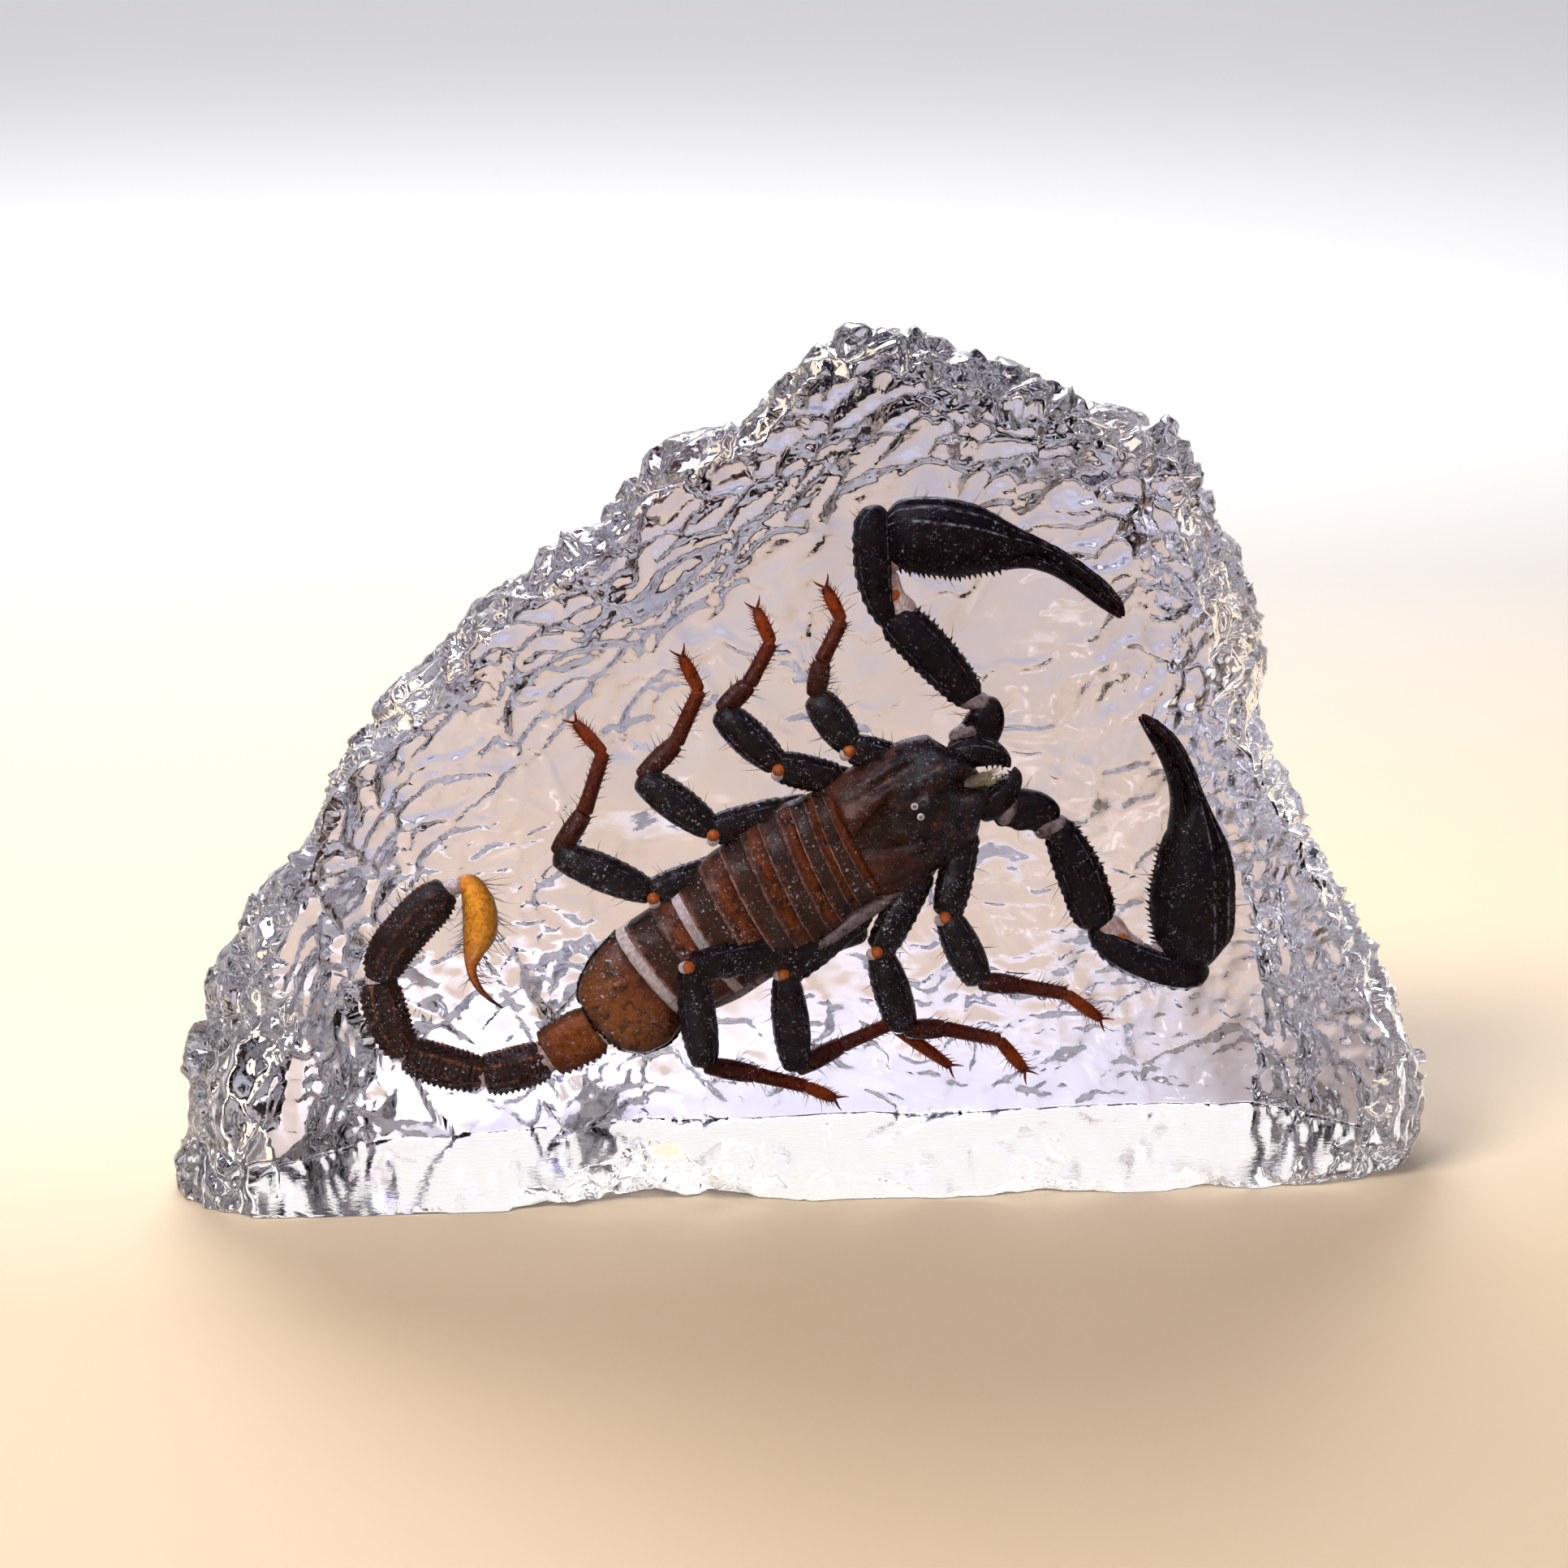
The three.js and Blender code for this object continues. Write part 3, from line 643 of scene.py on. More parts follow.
@dataclass(frozen=True)
class Cuticle:
    """Horny shell: its colour runs along the piece, with blotches, dirt specks mixed with painted glints, painted shade
    and light by turn around the piece, and keel lines.
    """

    name: str
    along: Sequence[tuple[float, Colour]]
    blotch: Colour = (0.030, 0.007, 0.006)
    blotch_share: float = 0.5
    # specks and speck colour: pale dots that are dirt specks mixed with painted glints of tiny air bubbles
    specks: float = 0.5
    speck_colour: Colour = (0.62, 0.62, 0.72)
    # lines: brightness by turn around the piece, painted shade on the sides that turn away and in creases, painted
    # light on the face towards the camera
    lines: Sequence[tuple[float, float]] = ()
    keels: Sequence[float] = ()
    keel_width: float = 0.008
    # a painted highlight along the keels of the black claws, arms and legs; the keels' own red-brown colour on the tail
    # rings
    keel_highlight_and_colour: Colour = (0.34, 0.34, 0.40)
    roughness: float = 0.27
    gloss: float = 0.2
    glow: float = 0.0

    def build(self) -> bpy.types.Material:
        """Make the material."""
        graph = Graph(self.name)
        coords = graph.add("TexCoord")
        spot = coords.outputs["Object"]
        around, length = graph.add("SeparateXYZ", {0: coords.outputs["UV"]}).outputs[:2]
        drift = graph.add("TexNoise", {"Vector": spot, "Scale": 420.0, "Detail": 4.0}).outputs[0]
        place = graph.math("ADD", length, graph.math("MULTIPLY", graph.math("SUBTRACT", drift, 0.5), 0.1))
        colour = graph.ramp(place, self.along)
        blotches = graph.add("TexNoise", {"Vector": spot, "Scale": 700.0, "Detail": 5.0, "Roughness": 0.65}).outputs[0]
        share = graph.math("MULTIPLY", graph.window(blotches, 0.48, 0.66), self.blotch_share)
        colour = graph.mix(share, colour, self.blotch)
        grain = graph.add("TexNoise", {"Vector": spot, "Scale": 2100.0, "Detail": 3.0, "Roughness": 0.6}).outputs[0]
        shade = graph.ramp(grain, ((0.3, (0.45, 0.45, 0.45)), (0.7, (1.5, 1.5, 1.5))))
        colour = graph.mix(0.6, colour, shade, "MULTIPLY")
        # Painted shade and light: the colour is multiplied by a ramp around the piece. On the plates, tail ring and
        # sting it darkens the sides that turn away and brightens the face towards the camera; on the shield it darkens
        # the furrow and the flank hollows.
        if self.lines:
            lines = graph.ramp(around, [(turn, (bright,) * 3) for turn, bright in self.lines])
            colour = graph.mix(1.0, colour, lines, "MULTIPLY")
        # Keel lines: on the black claws, arms and legs the pale keel colour is a painted highlight along each keel; on
        # the tail rings it is the keels' own red-brown colour. Noise breaks the lines into patches.
        if self.keels:
            stops = [(turn + side * self.keel_width, (1.0 - abs(side),) * 3) for turn in self.keels for side in (-1, 0, 1)]
            keel_patches = graph.add("TexNoise", {"Vector": spot, "Scale": 900.0, "Detail": 4.0, "Roughness": 0.7}).outputs[0]
            share = graph.math("MULTIPLY", graph.ramp(around, stops), graph.window(keel_patches, 0.42, 0.62))
            colour = graph.mix(share, colour, self.keel_highlight_and_colour)
        bent = graph.add("VectorMath", {0: spot, 1: graph.scatter(spot)}, operation="ADD").outputs[0]
        # Pale dots in clusters: dirt specks mixed with painted glints of tiny air bubbles.
        dust_and_glints = None
        for size, where_size, low in ((1450.0, 330.0, 0.47), (3300.0, 520.0, 0.44)):
            dots = graph.add("TexVoronoi", {"Vector": bent, "Scale": size}).outputs["Distance"]
            where = graph.add("TexNoise", {"Vector": spot, "Scale": where_size, "Detail": 3.0, "Roughness": 0.7})
            layer = graph.math("MULTIPLY", graph.window(dots, 0.27, 0.15), graph.window(where.outputs[0], low, low + 0.2))
            dust_and_glints = graph.math("MAXIMUM", dust_and_glints, layer) if dust_and_glints else layer
        dust_and_glints = graph.math("MULTIPLY", dust_and_glints, self.specks)
        colour = graph.mix(dust_and_glints, colour, self.speck_colour)
        height = graph.math("ADD", graph.math("MULTIPLY", grain, 0.6), blotches)
        bump = graph.add("Bump", {"Height": height, "Distance": 0.00016, "Strength": 0.9})
        rough = graph.math("ADD", graph.math("MULTIPLY", grain, 0.25), self.roughness - 0.1)
        shader = graph.add("BsdfPrincipled", {
            "Base Color": colour,
            "Roughness": rough,
            "Specular IOR Level": self.gloss,
            "Normal": bump.outputs[0],
            "Subsurface Weight": self.glow,
            "Subsurface Radius": (1.0, 0.45, 0.15),
            "Subsurface Scale": 0.0012,
        })
        graph.surface(shader)
        return graph.material


BLACK = (0.0040, 0.0045, 0.0115)
SOOT = (0.008, 0.005, 0.008)
CHESTNUT = (0.230, 0.058, 0.014)
UMBER = (0.050, 0.016, 0.010)
ORANGE = (0.52, 0.13, 0.012)
AMBER = (0.80, 0.34, 0.022)
PALE = (0.72, 0.62, 0.60)


CLAW_RUN = ((0.0, BLACK), (0.72, BLACK), (0.9, (0.035, 0.006, 0.006)), (1.0, (0.07, 0.010, 0.007)))


class Finish(Enum):
    """The finishes of the scorpion's pieces."""

    SHELL = Cuticle("black_shell", ((0.0, BLACK), (1.0, BLACK)), specks=0.35, blotch_share=0.45, roughness=0.22, gloss=0.15)
    # Painted highlights: the pale keel colour draws light along the arm's keels.
    ARM = Cuticle(
        "arm_shell", ((0.0, BLACK), (1.0, BLACK)), specks=0.35, blotch_share=0.45, roughness=0.2, gloss=0.18,
        keels=(0.105, 0.19, 0.81, 0.895), keel_highlight_and_colour=(0.22, 0.22, 0.27))
    # Painted highlights: the default pale keel colour draws light along the claw's keels.
    CLAW = Cuticle(
        "claw_shell", CLAW_RUN, specks=0.45, blotch_share=0.3, roughness=0.18, gloss=0.2, keels=(0.075, 0.14, 0.205, 0.26))
    # Painted highlights: the default pale keel colour draws light along the claw's keels.
    RIGHT_CLAW = Cuticle(
        "right_claw_shell", CLAW_RUN, specks=0.45, blotch_share=0.3, roughness=0.18, gloss=0.2,
        keels=(0.74, 0.795, 0.86, 0.925))
    # Painted shade: its lines darken the middle furrow and the flank hollows, and lighten the sides.
    SHIELD = Cuticle(
        "shield_shell", ((0.0, (0.10, 0.028, 0.012)), (0.25, (0.050, 0.014, 0.009)), (0.45, SOOT), (0.6, BLACK), (1.0, BLACK)),
        lines=((0.0, 0.25), (0.018, 0.5), (0.04, 1.0), (0.1, 1.2), (0.125, 0.5), (0.15, 1.1), (0.25, 1.5), (0.75, 1.5),
               (0.85, 1.1), (0.875, 0.5), (0.9, 1.2), (0.96, 1.0), (0.982, 0.5), (1.0, 0.25)),
        blotch=(0.15, 0.032, 0.012), blotch_share=0.5, specks=0.45, roughness=0.16, gloss=0.35)
    # Painted shade: its lines darken the plate's sides that curve away and brighten its top.
    PLATE = Cuticle(
        "back_plate", (
            (0.0, (0.018, 0.009, 0.009)), (0.16, (0.14, 0.034, 0.012)), (0.3, (0.23, 0.058, 0.014)),
            (0.42, (0.10, 0.027, 0.012)), (0.48, (0.26, 0.12, 0.09)), (0.52, (0.045, 0.016, 0.011)),
            (0.84, (0.060, 0.020, 0.012)), (0.92, (0.16, 0.050, 0.024)), (0.965, (0.46, 0.33, 0.30)), (1.0, UMBER)),
        lines=((0.0, 1.2), (0.1, 1.1), (0.17, 0.75), (0.23, 0.4), (0.77, 0.4), (0.83, 0.75), (0.9, 1.1), (1.0, 1.2)),
        blotch=(0.022, 0.011, 0.012), blotch_share=0.8, specks=1.0, roughness=0.18, gloss=0.35)
    # Painted shade: its lines darken the plate's sides that curve away and brighten its top.
    LAST_PLATE = Cuticle(
        "last_plate", (
            (0.0, UMBER), (0.12, (0.20, 0.058, 0.020)), (0.45, (0.27, 0.092, 0.028)), (0.7, (0.24, 0.085, 0.022)),
            (0.88, (0.13, 0.036, 0.014)), (1.0, SOOT)),
        lines=((0.0, 1.25), (0.08, 1.0), (0.16, 0.8), (0.22, 0.35), (0.78, 0.3), (0.84, 0.7), (0.92, 1.1), (1.0, 1.25)),
        blotch=(0.06, 0.020, 0.012), blotch_share=0.9, specks=0.9, roughness=0.18, gloss=0.35)
    BELLY = Cuticle("belly_shell", ((0.0, UMBER), (1.0, (0.05, 0.018, 0.010))), specks=0.3, roughness=0.36)
    # Painted shade: its lines darken the ring's sides that turn away from the camera.
    FIRST_RING = Cuticle(
        "first_ring", ((0.0, (0.34, 0.105, 0.022)), (0.6, (0.26, 0.072, 0.018)), (1.0, (0.09, 0.025, 0.012))),
        lines=((0.0, 1.0), (0.1, 1.0), (0.19, 0.25), (0.27, 0.1), (0.5, 0.4), (0.74, 0.1), (0.8, 0.3), (0.86, 1.0)),
        blotch=(0.22, 0.065, 0.014), specks=0.8, roughness=0.22, glow=0.1)
    RING = Cuticle(
        "tail_ring", ((0.0, (0.055, 0.016, 0.011)), (0.5, (0.030, 0.010, 0.009)), (1.0, (0.020, 0.008, 0.008))),
        blotch=SOOT, specks=0.9, roughness=0.18, gloss=0.35,
        keels=(0.06, 0.2, 0.8, 0.94), keel_width=0.022, keel_highlight_and_colour=(0.42, 0.12, 0.035))
    LAST_RING = Cuticle(
        "last_ring", ((0.0, (0.024, 0.010, 0.011)), (0.5, (0.026, 0.010, 0.010)), (1.0, (0.012, 0.007, 0.009))),
        blotch=SOOT, specks=0.7, roughness=0.2, gloss=0.3,
        keels=(0.045, 0.2, 0.8, 0.955), keel_width=0.022, keel_highlight_and_colour=(0.22, 0.075, 0.045))
    # Painted shade and light: its lines brighten the bulb's front towards the camera and darken its sides.
    STING = Cuticle(
        "sting", (
            (0.0, (0.42, 0.14, 0.014)), (0.1, (0.55, 0.20, 0.016)), (0.2, AMBER), (0.5, (0.84, 0.38, 0.03)),
            (0.58, (0.60, 0.20, 0.016)), (0.68, (0.26, 0.05, 0.008)), (0.8, (0.07, 0.010, 0.006)), (1.0, (0.010, 0.004, 0.004))),
        blotch=(0.62, 0.22, 0.015), blotch_share=0.3, specks=0.0, roughness=0.12, gloss=0.6, glow=0.4,
        lines=((0.0, 1.25), (0.06, 1.1), (0.15, 0.8), (0.25, 0.45), (0.75, 0.4), (0.85, 0.75), (0.93, 1.15), (1.0, 1.25)))
    # Painted highlights: the pale keel colour draws light along the leg's keels.
    LEG = Cuticle("leg_shell", ((0.0, SOOT), (0.5, BLACK), (1.0, SOOT)), blotch_share=0.6, specks=0.8, roughness=0.18, gloss=0.35,
        keels=(0.1, 0.2, 0.8, 0.9), keel_width=0.012, keel_highlight_and_colour=(0.15, 0.13, 0.18))
    SHANK = Cuticle(
        "shank_shell", ((0.0, (0.045, 0.012, 0.010)), (0.6, (0.070, 0.015, 0.010)), (1.0, (0.12, 0.020, 0.010))),
        blotch=(0.09, 0.018, 0.010), specks=0.6)
    SOLE = Cuticle(
        "sole_shell", ((0.0, (0.08, 0.015, 0.009)), (0.5, (0.12, 0.020, 0.009)), (1.0, (0.22, 0.036, 0.009))),
        blotch=(0.05, 0.012, 0.008), specks=0.25, glow=0.05)
    TOE = Cuticle(
        "toe_shell", ((0.0, (0.26, 0.044, 0.010)), (0.6, (0.32, 0.056, 0.010)), (1.0, (0.06, 0.012, 0.008))),
        blotch=(0.07, 0.014, 0.008), specks=0.1, glow=0.08)
    BEAD = Cuticle("joint_bead", ((0.0, ORANGE), (1.0, ORANGE)), blotch=(0.40, 0.08, 0.01), specks=0.0, roughness=0.1,
                   gloss=0.7, glow=0.3)
    MEMBRANE = Cuticle(
        "joint_membrane", ((0.0, PALE), (1.0, PALE)), blotch=(0.42, 0.26, 0.20), blotch_share=0.5,
        specks=0.5, speck_colour=(0.95, 0.95, 0.95), roughness=0.28, glow=0.3)
    SIDE_SKIN = Cuticle(
        "side_skin", ((0.0, (0.26, 0.20, 0.20)), (0.5, (0.34, 0.27, 0.27)), (1.0, (0.24, 0.18, 0.18))),
        blotch=(0.09, 0.045, 0.035), blotch_share=0.85, specks=0.6, speck_colour=(0.85, 0.85, 0.9), roughness=0.25)
    WEB = Cuticle(
        "elbow_membrane", ((0.0, (0.50, 0.32, 0.26)), (0.4, (0.70, 0.58, 0.54)), (1.0, (0.62, 0.50, 0.47))),
        blotch=(0.46, 0.14, 0.05), blotch_share=0.7, specks=0.4, speck_colour=(0.95, 0.95, 0.95), roughness=0.28, glow=0.3)
    HAIR = Cuticle("hair", ((0.0, (0.06, 0.020, 0.010)), (1.0, (0.16, 0.060, 0.024))), specks=0.0, roughness=0.35)
    BRISTLE = Cuticle("bristle", ((0.0, (0.72, 0.62, 0.38)), (1.0, (0.86, 0.80, 0.36))), blotch=(0.6, 0.5, 0.2), specks=0.0)
    # Painted glint: the white ring round each eye.
    EYE_RING = Cuticle("eye_glint_ring", ((0.0, (0.86, 0.84, 0.80)), (1.0, (0.86, 0.84, 0.80))), blotch=(0.6, 0.55, 0.5), specks=0.0)
    PUPIL = Cuticle("pupil", ((0.0, (0.30, 0.28, 0.30)), (1.0, (0.16, 0.15, 0.17))), blotch=(0.1, 0.1, 0.1), specks=0.0, roughness=0.12)

    def material(self) -> bpy.types.Material:
        """Give the finish's material, made when it is first asked for."""
        return bpy.data.materials.get(self.value.name) or self.value.build()


def horny(bm: bmesh.types.BMesh, name: str, finish: Finish) -> bpy.types.Object:
    """Turn a bmesh into a piece of the scorpion in one of its finishes."""
    return finished(bm, name, finish.material(), Slot.SHELL)


# ---- forms that the scorpion is made of ---------------------------------------------------------

SPECIMEN_X = -0.8
PARTING_Y = -9.0

Station = tuple[float, float, float, float, float]


def lift(x: float, z: float, rise: float) -> Vector:
    """Put a spot of the specimen's own drawing into the block.

    Args:
        x: to the right.
        z: up.
        rise: towards the polished face.

    Returns:
        The spot in metres.
    """
    return Vector((SPECIMEN_X + x, PARTING_Y - rise, z)) * MM


def crowd_ends(share: float) -> float:
    """Move evenly spaced shares towards 0 and 1, where a limb is rounded."""
    return share - 0.8 * math.sin(2.0 * math.pi * share) / (2.0 * math.pi)


class Track:
    """Numbers given at stations along a path and blended smoothly between them."""

    def __init__(self, stations: Sequence[Sequence[float]]) -> None:
        """Prepare the blending.

        Args:
            stations: the numbers at each station, the first two of which are its x and z.
        """
        self.values = np.array(stations, float)
        steps = np.linalg.norm(np.diff(self.values[:, :2], axis=0), axis=1)
        self.length = float(steps.sum())
        self.reached = np.concatenate(([0.0], np.cumsum(steps))) / self.length
        self.slopes = np.gradient(self.values, self.reached, axis=0)
        self.known: dict[float, np.ndarray] = {}

    def at(self, share: float) -> np.ndarray:
        """Blend the stations' numbers.

        Args:
            share: how far along the path, from 0 to 1.

        Returns:
            The numbers there.
        """
        key = round(share, 6)
        if key not in self.known:
            i = int(np.clip(np.searchsorted(self.reached, share) - 1, 0, len(self.reached) - 2))
            span = self.reached[i + 1] - self.reached[i]
            t = (share - self.reached[i]) / span
            ends = (2 * t**3 - 3 * t**2 + 1) * self.values[i] + (3 * t**2 - 2 * t**3) * self.values[i + 1]
            bends = (t**3 - 2 * t**2 + t) * self.slopes[i] + (t**3 - t**2) * self.slopes[i + 1]
            self.known[key] = ends + span * bends
        return self.known[key]

    def way(self, share: float) -> np.ndarray:
        """Give the direction of the path, as x and z."""
        step = self.at(min(share + 0.01, 1.0))[:2] - self.at(max(share - 0.01, 0.0))[:2]
        return step / np.linalg.norm(step)


@dataclass(frozen=True)
class Ridge:
    """A raised line along a limb, plain or of beads."""

    turn: float
    height: float
    width: float = 0.03
    beads: float = 0.0

    def rise(self, turn: float, share: float) -> float:
        """Give its height at a place on the limb."""
        gap = abs((turn - self.turn + 0.5) % 1.0 - 0.5)
        knots = 1.0 + 0.7 * math.sin(2.0 * math.pi * self.beads * share)
        fade = min(1.0, 7.0 * share, 7.0 * (1.0 - share))
        return self.height * math.exp(-((gap / self.width) ** 2)) * knots * fade


@dataclass
class Limb:
    """One closed tube with oval rings, rounded ends and ridges.

    A turn of 0 is towards the polished face, and a turn of 0.25 is on the left of its path.
    """

    stations: Sequence[Station]
    near_end: float = 1.0
    far_end: float = 1.0
    ridges: Sequence[Ridge] = ()
    around: int = 28
    along: int = 36
    box: float = 1.0
    rough: float = 0.03
    track: Track = field(init=False)

    def __post_init__(self) -> None:
        """Prepare the blending of the stations."""
        self.track = Track(self.stations)

    def spot(self, turn: float, share: float, stand: float = 0.0) -> Vector:
        """Find a spot on the tube.

        Args:
            turn: how far around, from 0 to 1.
            share: how far along, from 0 to 1.
            stand: how far the spot stands off the tube in millimetres.

        Returns:
            The spot in metres.
        """
        x, z, wide, deep, rise = self.track.at(share)
        way_x, way_z = self.track.way(share)
        run = share * self.track.length
        close = 1.0
        for gap, end in ((run, self.near_end), (self.track.length - run, self.far_end)):
            if gap < end:
                close *= math.sqrt(max(0.0, 1.0 - (1.0 - gap / end) ** 2))
        sin, cos = math.sin(2.0 * math.pi * turn), math.cos(2.0 * math.pi * turn)
        sin = math.copysign(abs(sin) ** self.box, sin)
        cos = math.copysign(abs(cos) ** self.box, cos)
        extra = sum(ridge.rise(turn, share) for ridge in self.ridges)
        if self.rough:
            extra += self.rough * noise.noise(Vector((x + 3.0 * sin, z + 3.0 * cos, 9.0 * share)) * 1.6)
        across = ((wide + extra) * close + stand) * sin
        out = ((deep + extra) * close + stand) * cos
        return lift(x - way_z * across, z + way_x * across, rise + out)

    def add_to(self, bm: bmesh.types.BMesh) -> None:
        """Wrap the tube."""
        wrap(bm, self.around, self.along, lambda turn, length: self.spot(turn, crowd_ends(length)))

    def build(self, name: str, finish: Finish) -> bpy.types.Object:
        """Make the tube a piece of its own.

        Args:
            name: the piece's name.
            finish: its finish.

        Returns:
            The piece's object.
        """
        bm = bmesh.new()
        self.add_to(bm)
        return horny(bm, name, finish)


def strand(
    bm: bmesh.types.BMesh,
    root: Vector,
    tip: Vector,
    thick: float,
    bow: Vector = Vector(),
    sides: int = 4,
    steps: int = 4,
) -> None:
    """Add a tapering hair, tooth or claw.

    Args:
        bm: the bmesh to add to.
        root: where it starts.
        tip: where it ends.
        thick: its radius at the root in millimetres.
        bow: how far its middle is drawn aside.
        sides: faces around it.
        steps: faces along it.
    """
    way = (tip - root).normalized()
    first = way.orthogonal().normalized()
    second = way.cross(first)
    middle = (root + tip) / 2.0 + bow

    def place(turn: float, share: float) -> Vector:
        """Give the spot of a grid point."""
        centre = root.lerp(middle, share).lerp(middle.lerp(tip, share), share)
        radius = thick * MM * (1.0 - 0.85 * share)
        angle = 2.0 * math.pi * turn
        return centre + radius * (math.cos(angle) * first + math.sin(angle) * second)

    wrap(bm, sides, steps, place)


def bead(bm: bmesh.types.BMesh, at: Vector, size: float, fine: int = 2) -> None:
    """Add a small ball with a radius in millimetres."""
    bmesh.ops.create_icosphere(bm, subdivisions=fine, radius=size * MM, matrix=Matrix.Translation(at))


def hairs(
    bm: bmesh.types.BMesh,
    limb: Limb,
    count: int,
    turns: tuple[float, float],
    shares: tuple[float, float],
    reach: tuple[float, float],
    rng: random.Random,
    lean: float = 0.5,
) -> None:
    """Grow fine hairs from a limb.

    Args:
        bm: the bmesh to add to.
        limb: the limb that they grow from.
        count: how many.
        turns: the turns between which they grow.
        shares: how far along they start and stop.
        reach: the shortest and longest hair in millimetres.
        rng: the source of chance.
        lean: how far they lean towards the limb's far end.
    """
    for _ in range(count):
        turn, share = rng.uniform(*turns), rng.uniform(*shares)
        long = rng.uniform(*reach)
        root = limb.spot(turn, share, -0.05)
        out = (limb.spot(turn, share, 1.0) - root).normalized()
        way_x, way_z = limb.track.way(share)
        ahead = Vector((way_x, 0.0, way_z)) * lean * rng.uniform(0.2, 1.4)
        side = Vector([rng.uniform(-0.25, 0.25) for _ in range(3)])
        way = (out + ahead + side).normalized()
        bow = Vector([rng.uniform(-0.12, 0.12) for _ in range(3)]) * long * MM
        strand(bm, root, root + way * long * MM, 0.048, bow, 3, 4)


# ---- the body -----------------------------------------------------------------------------------

Edges = tuple[float, float, float, float, float, float]


@dataclass
class Plate:
    """A plate of the back, wrapped between its left and its right edge.

    Each of its edge rows gives the left x and z, the right x and z, and how far the back and the
    underside stand out from the plane in which the specimen lies.
    """

    edges: Sequence[Edges]
    relief: Callable[[float, float], float]
    shift: Callable[[float, float], float]
    around: int = 72
    along: int = 36
    box: float = 0.78
    lip: float = 0.05
    track: Track = field(init=False)

    def __post_init__(self) -> None:
        """Prepare the blending of the edges."""
        self.track = Track(self.edges)

    def spot(self, turn: float, share: float) -> Vector:
        """Find a spot on the plate from its turn around the body and its share along it."""
        left_x, left_z, right_x, right_z, back, belly = self.track.at(share)
        half_x, half_z = (left_x - right_x) / 2.0, (left_z - right_z) / 2.0
        half = math.hypot(half_x, half_z)
        sin, cos = math.sin(2.0 * math.pi * turn), math.cos(2.0 * math.pi * turn)
        aside = math.copysign(abs(sin) ** self.box, sin)
        up = math.copysign(abs(cos) ** self.box, cos)
        close = 1.0
        for gap in (share, 1.0 - share):
            if gap < self.lip:
                close *= math.sqrt(max(0.0, 1.0 - (1.0 - gap / self.lip) ** 2))
        height = (back + self.relief(aside, share)) * up if up > 0.0 else belly * up
        ahead = self.shift(aside, share)
        x = (left_x + right_x) / 2.0 + aside * half_x + ahead * half_z / half
        z = (left_z + right_z) / 2.0 + aside * half_z - ahead * half_x / half
        return lift(x, z, height * close)

    def build(self, name: str, finish: Finish) -> bpy.types.Object:
        """Make the plate a piece of its own."""
        bm = bmesh.new()
        wrap(bm, self.around, self.along, self.spot)
        return horny(bm, name, finish)


def hump(value: float, middle: float, width: float) -> float:
    """Give 1 at the middle, falling smoothly to nothing over about the width."""
    return math.exp(-(((value - middle) / width) ** 2))


@dataclass
class BackShield:
    """The shield over the front of the body, with two lobes, a furrow and two eyes, each a grey pupil in a white ring
    that is a painted glint.
    """

    edges: Sequence[Edges] = (
        (2.4, 45.9, 9.2, 33.0, 4.3, 1.0), (6.8, 48.9, 12.9, 34.3, 4.7, 1.0), (11.4, 51.2, 17.9, 38.0, 4.4, 1.0),
        (15.9, 51.8, 21.1, 41.3, 3.7, 1.0), (19.2, 50.7, 22.9, 43.7, 2.9, 0.8),
    )
    notch: float = 3.1
    eyes: Sequence[tuple[float, float]] = ((12.6, 44.3), (13.3, 43.1))
    eye_size: float = 0.34

    def relief(self, aside: float, share: float) -> float:
        """Give the height of the furrow, the lobes and the hollows."""
        front = max(0.0, min(1.0, (share - 0.55) / 0.3))
        rear = max(0.0, min(1.0, (0.5 - share) / 0.25))
        furrow = -1.9 * hump(aside, 0.02, 0.10) * front - 1.2 * hump(aside, 0.0, 0.06 + 0.14 * rear) * rear
        lobes = 1.2 * hump(abs(aside), 0.42, 0.26) * front
        eye_hill = 0.6 * hump(aside, -0.02, 0.13) * hump(share, 0.56, 0.08)
        hollow = -1.6 * hump(abs(aside), 0.22 + 0.9 * (share - 0.2), 0.08) * hump(share, 0.27, 0.15)
        flank = -1.0 * hump(abs(aside), 0.62, 0.09) * hump(share, 0.42, 0.22)
        rear_rim = 0.28 * hump(share, 0.05, 0.025)
        grain = 0.16 * noise.noise(Vector((aside * 9.0, share * 14.0, 1.3)))
        grain += 0.08 * noise.noise(Vector((aside * 26.0, share * 38.0, 5.1)))
        return furrow + lobes + eye_hill + hollow + flank + rear_rim + grain

    def shift(self, aside: float, share: float) -> float:
        """Draw the notch back between the lobes, and round the corners."""
        front = max(0.0, (share - 0.72) / 0.28)
        rear = max(0.0, (0.2 - share) / 0.2)
        return -front * (self.notch * hump(aside, 0.06, 0.2) + 3.4 * abs(aside) ** 3.0) - 0.5 * rear * (1 - aside**2)

    def build(self) -> None:
        """Model the shield and set its eyes on it."""
        plate = Plate(self.edges, self.relief, self.shift, around=96, along=72, box=0.88, lip=0.09)
        piece = plate.build("back_shield", Finish.SHIELD)
        shape = bmesh.new()
        shape.from_mesh(piece.data)
        surface = BVHTree.FromBMesh(shape)
        shape.free()
        # Each eye is a grey pupil in a white ring; the white ring is a painted glint.
        rings, pupils = bmesh.new(), bmesh.new()
        for x, z in self.eyes:
            at = surface.ray_cast(lift(x, z, 12.0), Vector((0.0, 1.0, 0.0)))[0]
            squash = Matrix.Translation(at) @ Matrix.Diagonal((1.0, 0.55, 1.0, 1.0))
            size = self.eye_size * MM
            bmesh.ops.create_icosphere(rings, subdivisions=3, radius=1.25 * size, matrix=squash)
            raised = Matrix.Translation((0.0, -0.30 * size, 0.0)) @ squash
            bmesh.ops.create_icosphere(pupils, subdivisions=3, radius=0.84 * size, matrix=raised)
        horny(rings, "eye_glint_rings", Finish.EYE_RING)
        horny(pupils, "eye_pupils", Finish.PUPIL)


